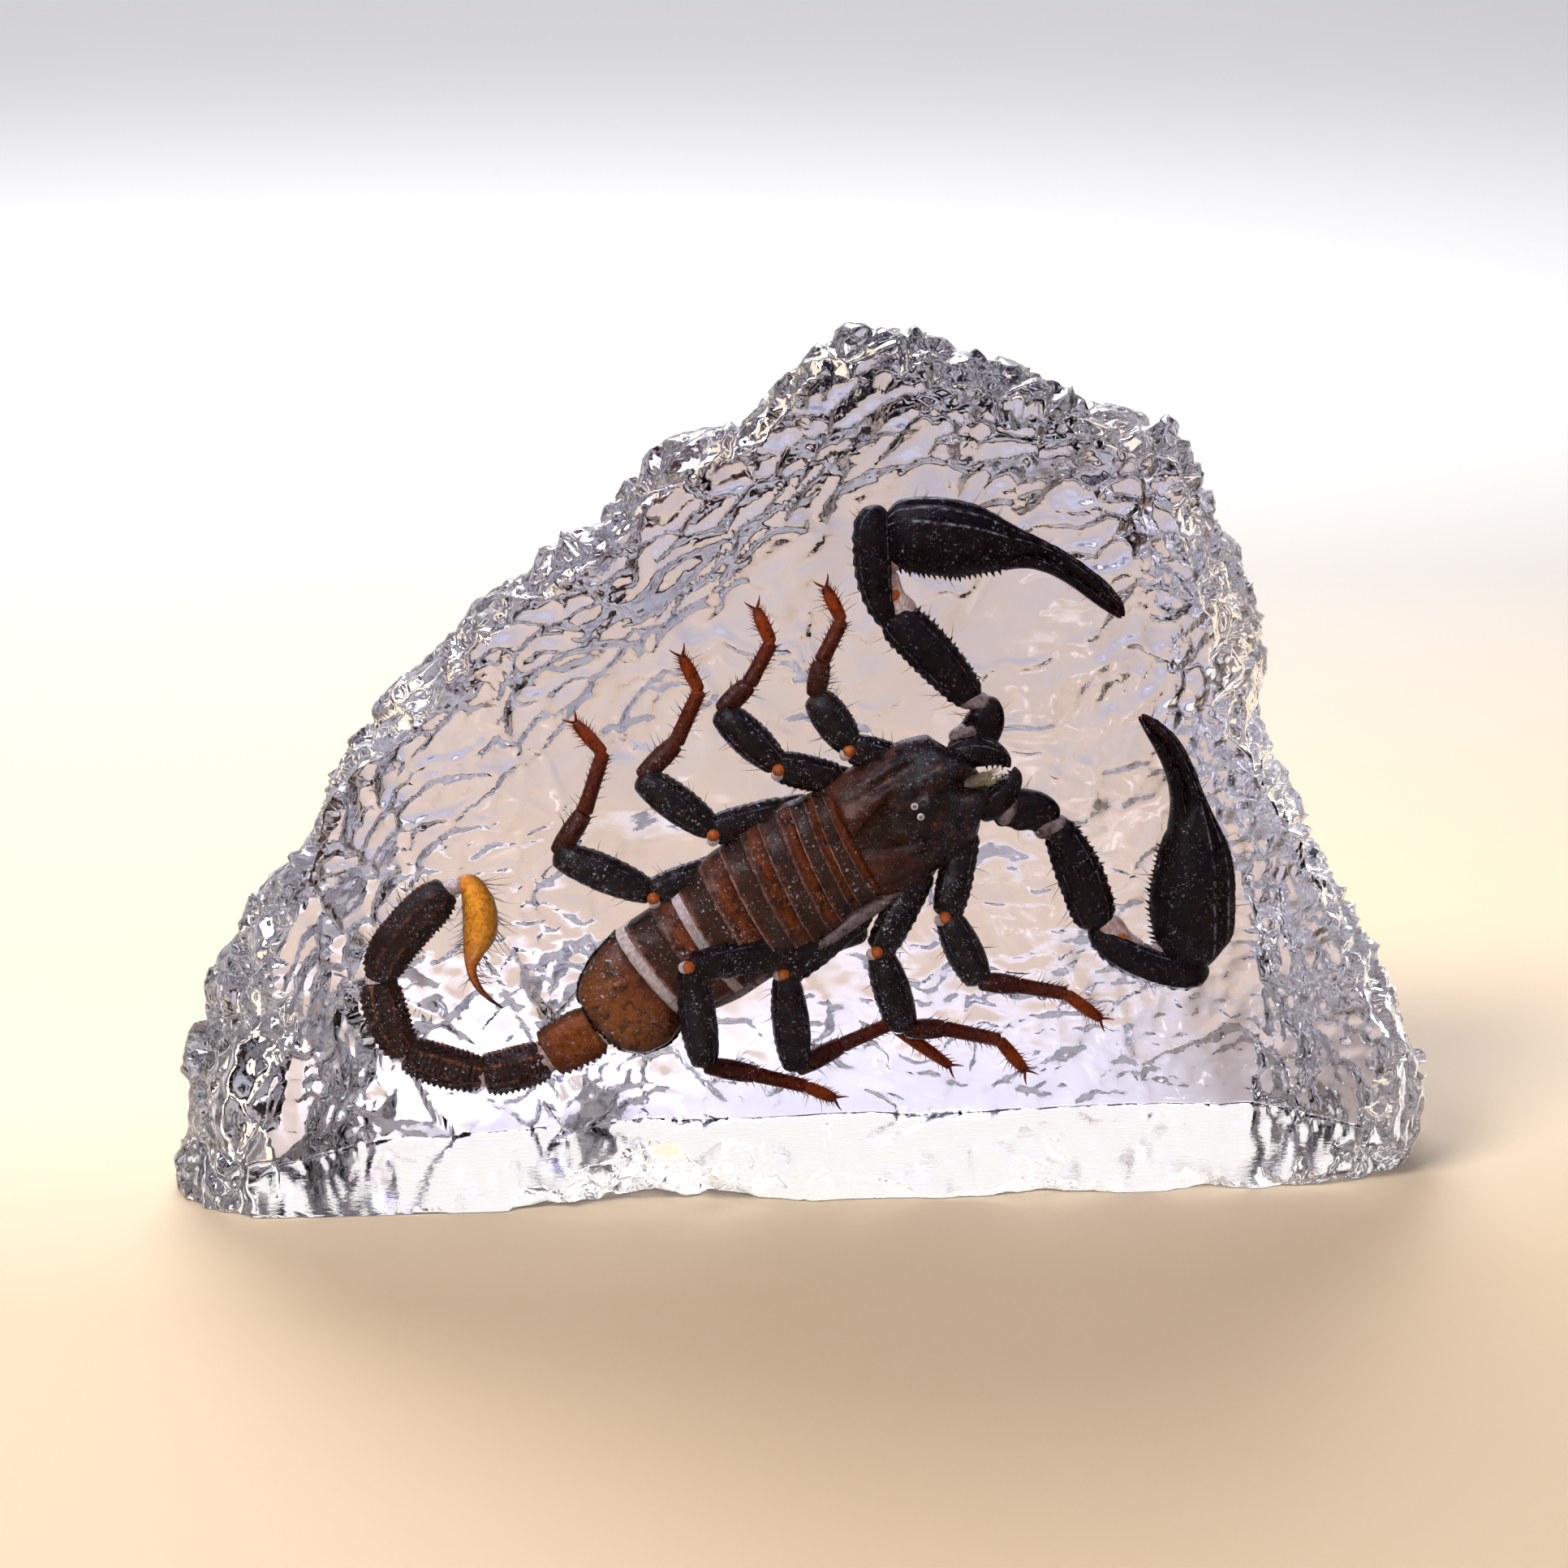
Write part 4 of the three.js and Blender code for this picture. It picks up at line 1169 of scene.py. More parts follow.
@dataclass
class BackPlates:
    """The seven plates of the back with the membranes between and beside them."""

    joins: Sequence[Edges] = (
        (2.6, 45.8, 9.1, 33.3, 4.2, 0.8), (1.0, 45.3, 6.8, 32.0, 4.3, 0.8), (-1.6, 44.3, 4.9, 29.8, 4.5, 0.8),
        (-5.1, 42.2, 1.7, 27.6, 4.6, 0.8), (-9.4, 39.1, -2.0, 25.4, 4.5, 0.8), (-14.1, 34.3, -6.5, 22.7, 4.2, 0.8),
        (-20.3, 30.2, -12.3, 20.0, 3.9, 0.8),
    )
    last: Sequence[Edges] = (
        (-20.9, 30.0, -12.8, 19.3, 3.7, 1.2), (-24.4, 25.6, -15.4, 16.2, 3.9, 1.6), (-25.2, 22.4, -18.4, 15.4, 3.7, 1.6),
        (-24.4, 20.7, -20.4, 16.0, 3.2, 1.4),
    )
    gaps: Sequence[float] = (0.0, 0.0, 0.0, 0.0, 0.0, 0.2, 0.25)
    side: Sequence[Station] = (
        (11.6, 34.0, 0.4, 1.0, 0.2), (9.0, 32.4, 0.9, 1.6, 0.4), (6.3, 30.9, 1.15, 1.8, 0.5), (3.8, 28.9, 1.0, 1.8, 0.5),
        (0.6, 27.0, 1.1, 1.8, 0.4), (-3.2, 24.9, 0.9, 1.6, 0.2), (-7.2, 22.1, 0.7, 1.4, 0.0), (-11.4, 20.0, 0.4, 1.0, 0.0),
    )

    def relief(self, aside: float, share: float) -> float:
        """Give the height of a plate's cross ridge, rear rim and furrows."""
        slope = -0.9 * (1.0 - min(1.0, share / 0.4))
        ridge = 0.26 * hump(share, 0.5, 0.035)
        rim = 0.22 * hump(share, 0.94, 0.035)
        keels = 0.14 * hump(aside, 0.0, 0.03) * min(1.0, 2.0 * share)
        grain = 0.16 * noise.noise(Vector((aside * 11.0, share * 5.0, 4.1)))
        return slope + ridge + rim + keels + grain

    def last_relief(self, aside: float, share: float) -> float:
        """Give the height of the last plate's knobs and rims."""
        keels = 0.32 * hump(abs(aside), 0.34, 0.05) * hump(share, 0.62, 0.3)
        rim = 0.3 * hump(abs(aside), 0.93, 0.06)
        knobs = 0.22 * noise.noise(Vector((aside * 14.0, share * 11.0, 2.2))) * min(1.0, 1.6 * share)
        return keels + rim + knobs - 0.5 * (1.0 - min(1.0, share / 0.2))

    def shift(self, aside: float, share: float) -> float:
        """Bow a plate's cross lines a little towards the tail."""
        return -0.45 * (1.0 - aside**2)

    def edge_at(self, number: int, ahead: float, back: float) -> Edges:
        """Move the join behind a plate along the body.

        Args:
            number: which join.
            ahead: how far towards the head.
            back: height added to the back.

        Returns:
            The join's edges there.
        """
        left_x, left_z, right_x, right_z, height, belly = self.joins[number]
        half = math.hypot(left_x - right_x, left_z - right_z)
        way_x, way_z = (left_z - right_z) / half, (right_x - left_x) / half
        return (
            left_x + ahead * way_x, left_z + ahead * way_z, right_x + ahead * way_x, right_z + ahead * way_z,
            height + back, belly,
        )

    def build(self) -> None:
        """Model the plates from front to rear, and their membranes."""
        for number in range(len(self.joins) - 1):
            edges = (
                self.edge_at(number, 0.9 - 1.5 * self.gaps[number], -0.15),
                self.edge_at(number, -1.2 * self.gaps[number], 0.05),
                self.edge_at(number + 1, 0.55 * self.gaps[number + 1], 0.15),
            )
            Plate(edges, self.relief, self.shift).build(f"back_plate_{number + 1}", Finish.PLATE)
        Plate(self.last, self.last_relief, self.shift, around=96, along=56).build("back_plate_7", Finish.LAST_PLATE)
        for number in (5, 6):
            edges = (self.edge_at(number, 1.4, -0.15), self.edge_at(number, -1.5, -0.25))
            band = Plate(edges, lambda aside, share: 0.05 * math.sin(30.0 * aside), self.shift, lip=0.3)
            band.build(f"back_membrane_{number}", Finish.MEMBRANE)
        Limb(self.side, ridges=[Ridge(0.95, 0.2, 0.05, 9.0)], along=60).build("side_membrane", Finish.SIDE_SKIN)
        self.edge_grains()

    def edge_grains(self) -> None:
        """Line both edges of the last plate with grains."""
        bm = bmesh.new()
        plate = Plate(self.last, self.last_relief, self.shift)
        rng = random.Random(4)
        for turn in (0.225, 0.775):
            for n in range(26):
                share = 0.1 + 0.85 * n / 26
                bead(bm, plate.spot(turn, share), rng.uniform(0.16, 0.3))
        for n in range(22):
            bead(bm, plate.spot((0.80 + 0.4 * n / 21) % 1.0, rng.uniform(0.93, 0.97)), rng.uniform(0.16, 0.28))
        horny(bm, "last_plate_grains", Finish.SHELL)


@dataclass
class Underside:
    """The underside of the body, with its plates, hips and combs."""

    edges: Sequence[Edges] = (
        (-24.0, 20.9, -20.6, 16.6, 1.5, 2.0), (-24.0, 25.2, -16.0, 16.8, 2.0, 2.7), (-20.0, 29.6, -12.2, 19.8, 2.6, 3.0),
        (-13.8, 33.8, -6.4, 22.8, 3.0, 3.2), (-9.2, 38.4, -2.0, 25.6, 3.2, 3.4), (-5.0, 41.4, 1.8, 28.0, 3.4, 3.5),
        (2.0, 44.9, 8.8, 33.6, 3.4, 3.3), (6.8, 47.6, 12.6, 35.8, 3.2, 3.1), (15.4, 50.2, 20.2, 42.2, 2.4, 2.6),
        (19.0, 49.6, 21.6, 44.4, 1.6, 1.8),
    )
    comb_root: tuple[float, float] = (2.6, 37.4)
    comb_length: float = 7.0
    comb_teeth: int = 13

    def relief(self, aside: float, share: float) -> float:
        """Leave the upper side plain, because the back plates cover it."""
        return 0.0

    def shift(self, aside: float, share: float) -> float:
        """Round the ends."""
        return -0.8 * aside**2 * (2.0 * share - 1.0)

    def build(self) -> None:
        """Model the underside, which stands for the whole solid scorpion."""
        plate = Plate(self.edges, self.relief, self.shift, around=64, along=96, box=0.85, lip=0.04)
        piece = plate.build("underside", Finish.BELLY)
        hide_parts("scorpion")
        self.build_combs()

    def build_combs(self) -> None:
        """Model the two feathery combs behind the hips."""
        bm = bmesh.new()
        x, z = self.comb_root
        for way_x, way_z in ((-0.96, 0.28), (-0.05, -1.0)):
            tip_x, tip_z = x + self.comb_length * way_x, z + self.comb_length * way_z
            Limb(((x, z, 0.5, 0.35, -3.5), ((x + tip_x) / 2, (z + tip_z) / 2, 0.5, 0.35, -3.55),
                  (tip_x, tip_z, 0.3, 0.3, -3.3)), along=12, around=10).add_to(bm)
            for n in range(self.comb_teeth):
                share = 0.15 + 0.8 * n / (self.comb_teeth - 1)
                root = (x + share * (tip_x - x), z + share * (tip_z - z))
                strand(bm, lift(*root, -3.5), lift(root[0] - 0.8, root[1] - 0.5, -3.55), 0.16, sides=5, steps=3)
        horny(bm, "combs", Finish.WEB)


@dataclass
class Jaws:
    """The two small jaws with their fangs, and the bristles between them."""

    jaws: Sequence[Sequence[Station]] = (
        ((16.6, 49.4, 1.7, 1.8, 0.9), (19.2, 50.0, 1.9, 2.0, 1.2), (21.4, 49.7, 1.6, 1.7, 1.1), (22.9, 48.9, 0.9, 1.0, 0.9),
         (23.7, 47.9, 0.35, 0.4, 0.8)),
        ((19.6, 42.9, 1.7, 1.8, 0.9), (22.0, 44.2, 1.9, 2.0, 1.2), (23.4, 45.6, 1.6, 1.7, 1.1), (24.2, 46.8, 0.9, 1.0, 0.9),
         (24.2, 48.0, 0.35, 0.4, 0.8)),
    )
    throat: Sequence[Station] = (
        (17.6, 45.9, 1.0, 1.0, 1.2), (19.6, 46.4, 0.9, 1.0, 1.4), (21.6, 47.2, 0.6, 0.7, 1.2),
    )
    bristles: int = 90

    def build(self) -> None:
        """Model both jaws, the skin between them and its bristles."""
        for number, stations in enumerate(self.jaws, 1):
            side = 0.25 if number == 1 else 0.75
            limb = Limb(stations, ridges=[Ridge(side * 0.5, 0.12, 0.05, 6.0)], along=30)
            bm = bmesh.new()
            limb.add_to(bm)
            for share in (0.62, 0.72, 0.82, 0.9):
                turn = 0.75 if number == 1 else 0.25
                strand(bm, limb.spot(turn, share, -0.2), limb.spot(turn, share + 0.06, 0.55), 0.22, sides=6)
            horny(bm, f"jaw_{number}", Finish.CLAW)
        skin = Limb(self.throat, along=16)
        skin.build("jaw_skin", Finish.MEMBRANE)
        rng = random.Random(7)
        bm = bmesh.new()
        for _ in range(self.bristles):
            root = skin.spot(rng.uniform(-0.2, 0.2), rng.uniform(0.2, 0.95), -0.05)
            tip = root + Vector((rng.uniform(1.1, 2.2), rng.uniform(-0.7, 0.1), rng.uniform(0.1, 1.1))) * MM
            strand(bm, root, tip, 0.045, Vector((0.0, -0.0002, 0.0)), 3, 3)
        horny(bm, "jaw_bristles", Finish.BRISTLE)


# ---- the limbs ----------------------------------------------------------------------------------


@dataclass
class Arm:
    """One arm with its claw. outer is 1 where its ridged side is on the left of its path, or -1."""

    name: str
    outer: int
    trochanter: Sequence[Station]
    femur: Sequence[Station]
    patella: Sequence[Station]
    palm: Sequence[Station]
    fingers: Sequence[Station]
    webs: Sequence[Sequence[Station]]
    condyle: tuple[float, float, float]
    pale_webs: int = 2

    def tooth_row(self, bm: bmesh.types.BMesh, limb: Limb, turn: float, count: int, reach: float,
                  shares: tuple[float, float], rng: random.Random) -> None:
        """Set a row of teeth along a limb.

        Args:
            bm: the bmesh to add to.
            limb: the limb that carries them.
            turn: where around it.
            count: how many.
            reach: how far they stand out.
            shares: how far along the row starts and stops.
            rng: the source of chance.
        """
        for n in range(count):
            share = shares[0] + (shares[1] - shares[0]) * n / (count - 1)
            tall = reach * rng.uniform(0.55, 1.25)
            root = limb.spot(turn, share, -0.25)
            tip = limb.spot(turn, min(share + 0.012, 1.0), tall)
            strand(bm, root, tip, 0.13 + 0.25 * tall, sides=6, steps=3)

    def finger(self, side: float) -> Sequence[Station]:
        """Give the stations of one of the two fingers that lie side by side.

        Args:
            side: 1 for the finger on the left of the path, or -1.

        Returns:
            Its stations.
        """
        track = Track(self.fingers)
        stations = []
        for share, (x, z, wide, deep, rise) in zip(track.reached, self.fingers):
            way_x, way_z = track.way(float(share))
            aside = 0.46 * wide * side
            stations.append((x - way_z * aside, z + way_x * aside, 0.56 * wide, 0.9 * deep, rise + 0.1 * side * self.outer))
        return stations

    def build(self) -> None:
        """Model the arm from the body to the tips of its fingers."""
        rng = random.Random(len(self.name))
        outer, inner = 0.25 * self.outer, -0.25 * self.outer
        bm = bmesh.new()
        hip = Limb(self.trochanter, box=0.85, ridges=[Ridge(0.6 * outer, 0.25, 0.05, 3.0), Ridge(0.6 * inner, 0.2, 0.05)])
        hip.add_to(bm)
        self.tooth_row(bm, hip, 0.5 * outer, 5, 0.15, (0.4, 0.9), rng)
        horny(bm, f"{self.name}_trochanter", Finish.SHELL)

        bm = bmesh.new()
        upper = Limb(self.femur, 1.4, 1.3, [Ridge(0.75 * outer, 0.2, 0.035, 14.0), Ridge(0.8 * inner, 0.2, 0.04, 12.0)],
                     around=40, along=84, box=0.72, rough=0.06)
        upper.add_to(bm)
        self.tooth_row(bm, upper, inner, 17, 0.42, (0.12, 0.88), rng)
        self.tooth_row(bm, upper, 0.72 * inner, 13, 0.22, (0.12, 0.85), rng)
        self.tooth_row(bm, upper, 0.62 * outer, 13, 0.14, (0.15, 0.85), rng)
        horny(bm, f"{self.name}_femur", Finish.ARM)

        lower = Limb(self.patella, 1.2, 1.5, [Ridge(0.42 * outer, 0.34, 0.03), Ridge(0.85 * outer, 0.2, 0.04, 11.0),
                                              Ridge(0.5 * inner, 0.2, 0.04)], around=40, along=60, box=0.8, rough=0.06)
        lower.build(f"{self.name}_patella", Finish.ARM)

        bm = bmesh.new()
        keels = [Ridge(turn * self.outer, tall, 0.022) for turn, tall in ((0.075, 0.36), (0.14, 0.48), (0.205, 0.42), (0.26, 0.3))]
        hand = Limb(tuple(self.palm) + tuple(self.finger(self.outer)[1:]), 1.6, 0.6, keels, around=64, along=110, rough=0.09)
        hand.add_to(bm)
        self.tooth_row(bm, hand, inner, 21, 0.55, (0.08, 0.46), rng)
        self.tooth_row(bm, hand, 0.8 * inner, 17, 0.3, (0.1, 0.44), rng)
        claw = Finish.CLAW if self.outer > 0 else Finish.RIGHT_CLAW
        horny(bm, f"{self.name}_hand", claw)
        thumb = Limb(self.finger(-self.outer), 0.8, 0.5, [Ridge(0.3 * inner, 0.14, 0.06, 16.0)], along=60)
        thumb.build(f"{self.name}_finger", claw)

        for number, web in enumerate(self.webs, 1):
            skin = Finish.WEB if number <= self.pale_webs else Finish.SIDE_SKIN
            Limb(web, 0.7, 0.7, [Ridge(0.06, 0.1, 0.03), Ridge(0.9, 0.12, 0.04)], along=24).build(
                f"{self.name}_web_{number}", skin)
        bm = bmesh.new()
        bead(bm, lift(*self.condyle), 0.8, 3)
        horny(bm, f"{self.name}_condyle", Finish.BEAD)

        bm = bmesh.new()
        hairs(bm, upper, 16, (0.1, 0.9), (0.1, 0.95), (1.0, 3.0), rng)
        hairs(bm, lower, 12, (0.1, 0.9), (0.1, 0.9), (1.0, 2.4), rng)
        hairs(bm, hand, 46, (0.15, 0.85), (0.1, 0.97), (0.8, 2.6), rng)
        hairs(bm, hip, 10, (0.0, 1.0), (0.2, 0.9), (1.0, 2.6), rng)
        horny(bm, f"{self.name}_hairs", Finish.HAIR)


@dataclass
class WalkingLeg:
    """One walking leg, given by its joints from hip to claw: x, z and the rise towards the face."""

    name: str
    joints: Sequence[tuple[float, float, float]]
    thigh: Sequence[float] = (1.6, 1.85, 1.9, 1.95, 1.85, 1.55)
    shin: Sequence[float] = (1.2, 1.7, 2.0, 2.1, 2.05, 1.8, 1.35)
    foot: Sequence[Sequence[float]] = ((0.95, 1.2, 1.2, 1.0), (0.95, 0.88, 0.85, 0.8), (0.66, 0.78, 0.74, 0.5))
    body_way: tuple[float, float] = (0.887, 0.461)

    def part(self, number: int, girths: Sequence[float], lap: float) -> Sequence[Station]:
        """Give the stations of the part of the leg that starts at a joint.

        Args:
            number: which joint.
            girths: half widths along the part.
            lap: how far it runs past both of its joints.

        Returns:
            Its stations.
        """
        start, end = np.array(self.joints[number], float), np.array(self.joints[number + 1], float)
        way = (end - start) / np.linalg.norm(end - start)
        start, end = start - lap * way, end + lap * way
        stations = []
        for n, girth in enumerate(girths):
            x, z, rise = start + (end - start) * n / (len(girths) - 1)
            stations.append((x, z, girth, 0.92 * girth, rise))
        return stations

    def build(self) -> None:
        """Model the leg from the hip to the claws."""
        rng = random.Random(self.name)
        hip_x, hip_z, hip_rise = self.joints[0]
        knee_x, knee_z, knee_rise = self.joints[1]
        hip = Limb(((hip_x - 0.35 * (knee_x - hip_x), hip_z - 0.35 * (knee_z - hip_z), 1.3, 1.1, -2.4),
                    (hip_x, hip_z, 1.6, 1.4, hip_rise - 0.6), (hip_x + 0.2 * (knee_x - hip_x), hip_z + 0.2 * (knee_z - hip_z), 1.3, 1.3, hip_rise)),
                   along=16)
        hip.build(f"{self.name}_hip", Finish.LEG)
        thigh = Limb(self.part(0, self.thigh, 0.3), 0.9, 0.8, [Ridge(0.22, 0.12, 0.05, 10.0), Ridge(0.78, 0.12, 0.05, 10.0)],
                     around=32, along=56, box=0.75, rough=0.09)
        thigh.build(f"{self.name}_thigh", Finish.LEG)
        shin = Limb(self.part(1, self.shin, 0.35), 0.8, 0.7, [Ridge(0.0, 0.08, 0.06), Ridge(0.76, 0.1, 0.05, 12.0)],
                    around=32, along=56, box=0.78, rough=0.08)
        shin.build(f"{self.name}_shin", Finish.LEG)
        self.build_knee()
        foot = [Limb(self.part(2 + n, girths, 0.2), 0.5, 0.45, rough=0.05, around=24, along=34)
                for n, girths in enumerate(self.foot)]
        for limb, part, finish in zip(foot, ("shank", "sole", "toe"), (Finish.SHANK, Finish.SOLE, Finish.TOE)):
            bm = bmesh.new()
            limb.add_to(bm)
            self.spines(bm, limb, 7 if part != "shank" else 3, rng)
            if part == "toe":
                self.claws(bm, limb)
            horny(bm, f"{self.name}_{part}", finish)
        bm = bmesh.new()
        hairs(bm, thigh, 7, (0.12, 0.88), (0.2, 0.95), (0.9, 2.2), rng)
        hairs(bm, shin, 12, (0.12, 0.88), (0.1, 0.9), (0.9, 2.4), rng)
        for limb in foot:
            hairs(bm, limb, 11, (0.1, 0.9), (0.1, 0.9), (0.8, 2.0), rng)
        horny(bm, f"{self.name}_hairs", Finish.HAIR)

    def build_knee(self) -> None:
        """Model the orange ball of the knee in its white cap."""
        x, z, rise = self.joints[1]
        away = np.array(self.joints[1][:2]) - (np.array(self.joints[0][:2]) + np.array(self.joints[2][:2])) / 2.0
        away /= np.linalg.norm(away)
        ball, cap = bmesh.new(), bmesh.new()
        bead(ball, lift(x + 0.35 * away[0], z + 0.35 * away[1], rise + 1.3), 0.74, 3)
        bead(cap, lift(x + 0.85 * away[0], z + 0.7 * away[1] - 0.25, rise + 1.0), 0.72, 3)
        horny(ball, f"{self.name}_knee_ball", Finish.BEAD)
        horny(cap, f"{self.name}_knee_cap", Finish.MEMBRANE)

    def spines(self, bm: bmesh.types.BMesh, limb: Limb, count: int, rng: random.Random) -> None:
        """Set stout spines along the sides of a foot part, closest at its far end."""
        for n in range(count):
            share = 1.0 - 0.62 * (n / count) ** 1.3 - 0.06
            for turn in (0.25, 0.75):
                root = limb.spot(turn, share, -0.15)
                tip = limb.spot(turn, share, rng.uniform(0.28, 0.5))
                way_x, way_z = limb.track.way(share)
                tip += Vector((way_x, 0.0, way_z)) * rng.uniform(0.4, 0.75) * MM
                strand(bm, root, tip, 0.1, sides=4, steps=2)

    def claws(self, bm: bmesh.types.BMesh, limb: Limb) -> None:
        """Set the two curved claws at the end of the leg."""
        way_x, way_z = limb.track.way(1.0)
        ahead, aside = Vector((way_x, 0.0, way_z)), Vector((-way_z, 0.0, way_x))
        root = limb.spot(0.0, 0.985, -0.4)
        for side in (1.0, -1.0):
            start = root + aside * side * 0.15 * MM
            tip = start + (ahead * 1.25 + aside * side * 0.75 + Vector((0.0, -0.35, 0.0))) * MM
            strand(bm, start, tip, 0.2, (ahead * 0.2 + aside * side * 0.28) * MM, 6, 6)


@dataclass
class Tail:
    """The five rings of the tail, the membranes between them, and the sting."""

    rings: Sequence[Sequence[Station]] = (
        ((-22.6, 18.7, 2.5, 2.2, 0.2), (-24.2, 17.9, 3.0, 2.5, 0.2), (-26.4, 16.8, 3.0, 2.6, 0.2), (-28.9, 15.4, 2.7, 2.4, 0.2)),
        ((-28.3, 15.0, 1.9, 1.9, 0.1), (-30.2, 14.5, 2.3, 2.2, 0.1), (-33.4, 13.7, 2.4, 2.3, 0.1), (-36.1, 13.3, 2.2, 2.2, 0.1)),
        ((-35.6, 13.2, 1.7, 1.8, 0), (-37.8, 13.7, 2.1, 2.1, 0), (-41.4, 14.8, 2.3, 2.2, 0), (-44.8, 16.2, 1.9, 2.0, 0)),
        ((-44.3, 15.8, 1.5, 1.7, 0), (-45.6, 17.8, 2.0, 2.0, 0), (-46.9, 21.4, 2.3, 2.1, 0), (-47.5, 24.8, 1.9, 1.9, 0)),
        ((-47.4, 24.3, 1.5, 1.7, 0), (-46.7, 27.0, 2.2, 2.0, 0), (-43.6, 31.3, 2.4, 2.0, 0), (-41.0, 33.9, 2.2, 1.9, 0),
         (-39.5, 35.3, 1.6, 1.6, 0)),
    )
    joints: Sequence[Sequence[Station]] = (
        ((-20.6, 20.3, 2.6, 2.2, 0.3), (-22.3, 19.0, 2.7, 2.4, 0.5), (-23.6, 18.2, 2.2, 2.0, 0.3)),
        ((-28.2, 15.8, 2.1, 2.0, 0.2), (-29.2, 15.0, 2.0, 2.0, 0.2), (-30.2, 14.6, 1.8, 1.8, 0.1)),
        ((-35.2, 13.5, 1.7, 1.7, 0.1), (-36.6, 13.4, 1.8, 1.8, 0.1), (-37.8, 13.6, 1.6, 1.6, 0.0)),
        ((-44.0, 15.8, 1.5, 1.6, 0.0), (-44.9, 16.6, 1.5, 1.6, 0.0), (-45.4, 17.6, 1.4, 1.5, 0.0)),
        ((-47.4, 24.0, 1.6, 1.6, 0.0), (-47.5, 24.9, 1.5, 1.5, 0.0), (-47.2, 25.8, 1.4, 1.4, 0.0)),
        ((-40.0, 34.8, 1.2, 1.2, 0.0), (-38.9, 35.4, 1.0, 1.1, 0.0), (-37.8, 35.6, 0.9, 1.0, 0.0)),
    )
    sting: Sequence[Station] = (
        (-38.8, 35.0, 0.9, 0.9, 0), (-37.3, 35.7, 1.15, 1.1, 0), (-36.35, 33.9, 1.75, 1.7, 0), (-36.0, 31.8, 2.0, 1.9, 0),
        (-36.2, 29.6, 1.85, 1.7, 0), (-36.8, 27.7, 1.2, 1.15, 0), (-37.1, 25.8, 0.62, 0.62, 0), (-36.6, 24.0, 0.42, 0.42, 0),
        (-35.4, 22.4, 0.28, 0.28, 0), (-33.7, 21.0, 0.10, 0.10, 0),
    )
    keel_beads: Sequence[float] = (9.0, 13.0, 15.0, 13.0, 22.0)

    def build(self) -> None:
        """Model the rings from the body to the sting."""
        finishes = (Finish.FIRST_RING, Finish.RING, Finish.RING, Finish.RING, Finish.LAST_RING)
        rng = random.Random(11)
        limbs = []
        for number, (stations, finish, beads) in enumerate(zip(self.rings, finishes, self.keel_beads), 1):
            keels = [Ridge(0.045, 0.22, 0.022, beads), Ridge(0.2, 0.3, 0.03, beads), Ridge(0.25, 0.12, 0.03),
                     Ridge(0.8, 0.3, 0.03, beads), Ridge(0.955, 0.14, 0.03, beads), Ridge(0.55, 0.2, 0.03), Ridge(0.45, 0.2, 0.03)]
            limb = Limb(stations, 0.7, 0.5, keels, around=72, along=88, box=0.8, rough=0.08)
            bm = bmesh.new()
            limb.add_to(bm)
            edges = (0.235, 0.765) if number != 5 else (0.765,)
            for turn in edges:
                for n in range(int(beads)):
                    share = 0.12 + 0.82 * n / beads
                    tall = rng.uniform(0.1, 0.28) * (1.5 if number == 5 else 1.0)
                    strand(bm, limb.spot(turn, share, -0.2), limb.spot(turn, share + 0.01, tall), 0.2, sides=5, steps=2)
            horny(bm, f"tail_ring_{number}", finish)
            limbs.append(limb)
        for number, stations in enumerate(self.joints, 1):
            finish = Finish.MEMBRANE if number in (1, 6) else Finish.WEB
            Limb(stations, 0.6, 0.6, [Ridge(0.02, 0.1, 0.02), Ridge(0.1, 0.1, 0.02)], along=20).build(f"tail_membrane_{number}", finish)
        sting = Limb(self.sting, 0.8, 0.1, around=40, along=96, rough=0.05)
        sting.build("sting", Finish.STING)
        bm = bmesh.new()
        hairs(bm, sting, 46, (0.18, 0.4), (0.12, 0.78), (1.4, 4.2), rng, 0.9)
        hairs(bm, sting, 26, (0.62, 0.86), (0.15, 0.75), (0.8, 2.4), rng, 0.9)
        hairs(bm, sting, 24, (-0.16, 0.16), (0.12, 0.6), (0.5, 1.0), rng, 1.2)
        hairs(bm, limbs[4], 34, (0.15, 0.35), (0.1, 0.95), (1.0, 3.0), rng)
        hairs(bm, limbs[4], 22, (0.62, 0.85), (0.1, 0.95), (0.8, 2.2), rng)
        for limb in limbs[:4]:
            hairs(bm, limb, 5, (0.1, 0.9), (0.1, 0.9), (0.6, 1.6), rng)
        horny(bm, "tail_hairs", Finish.HAIR)


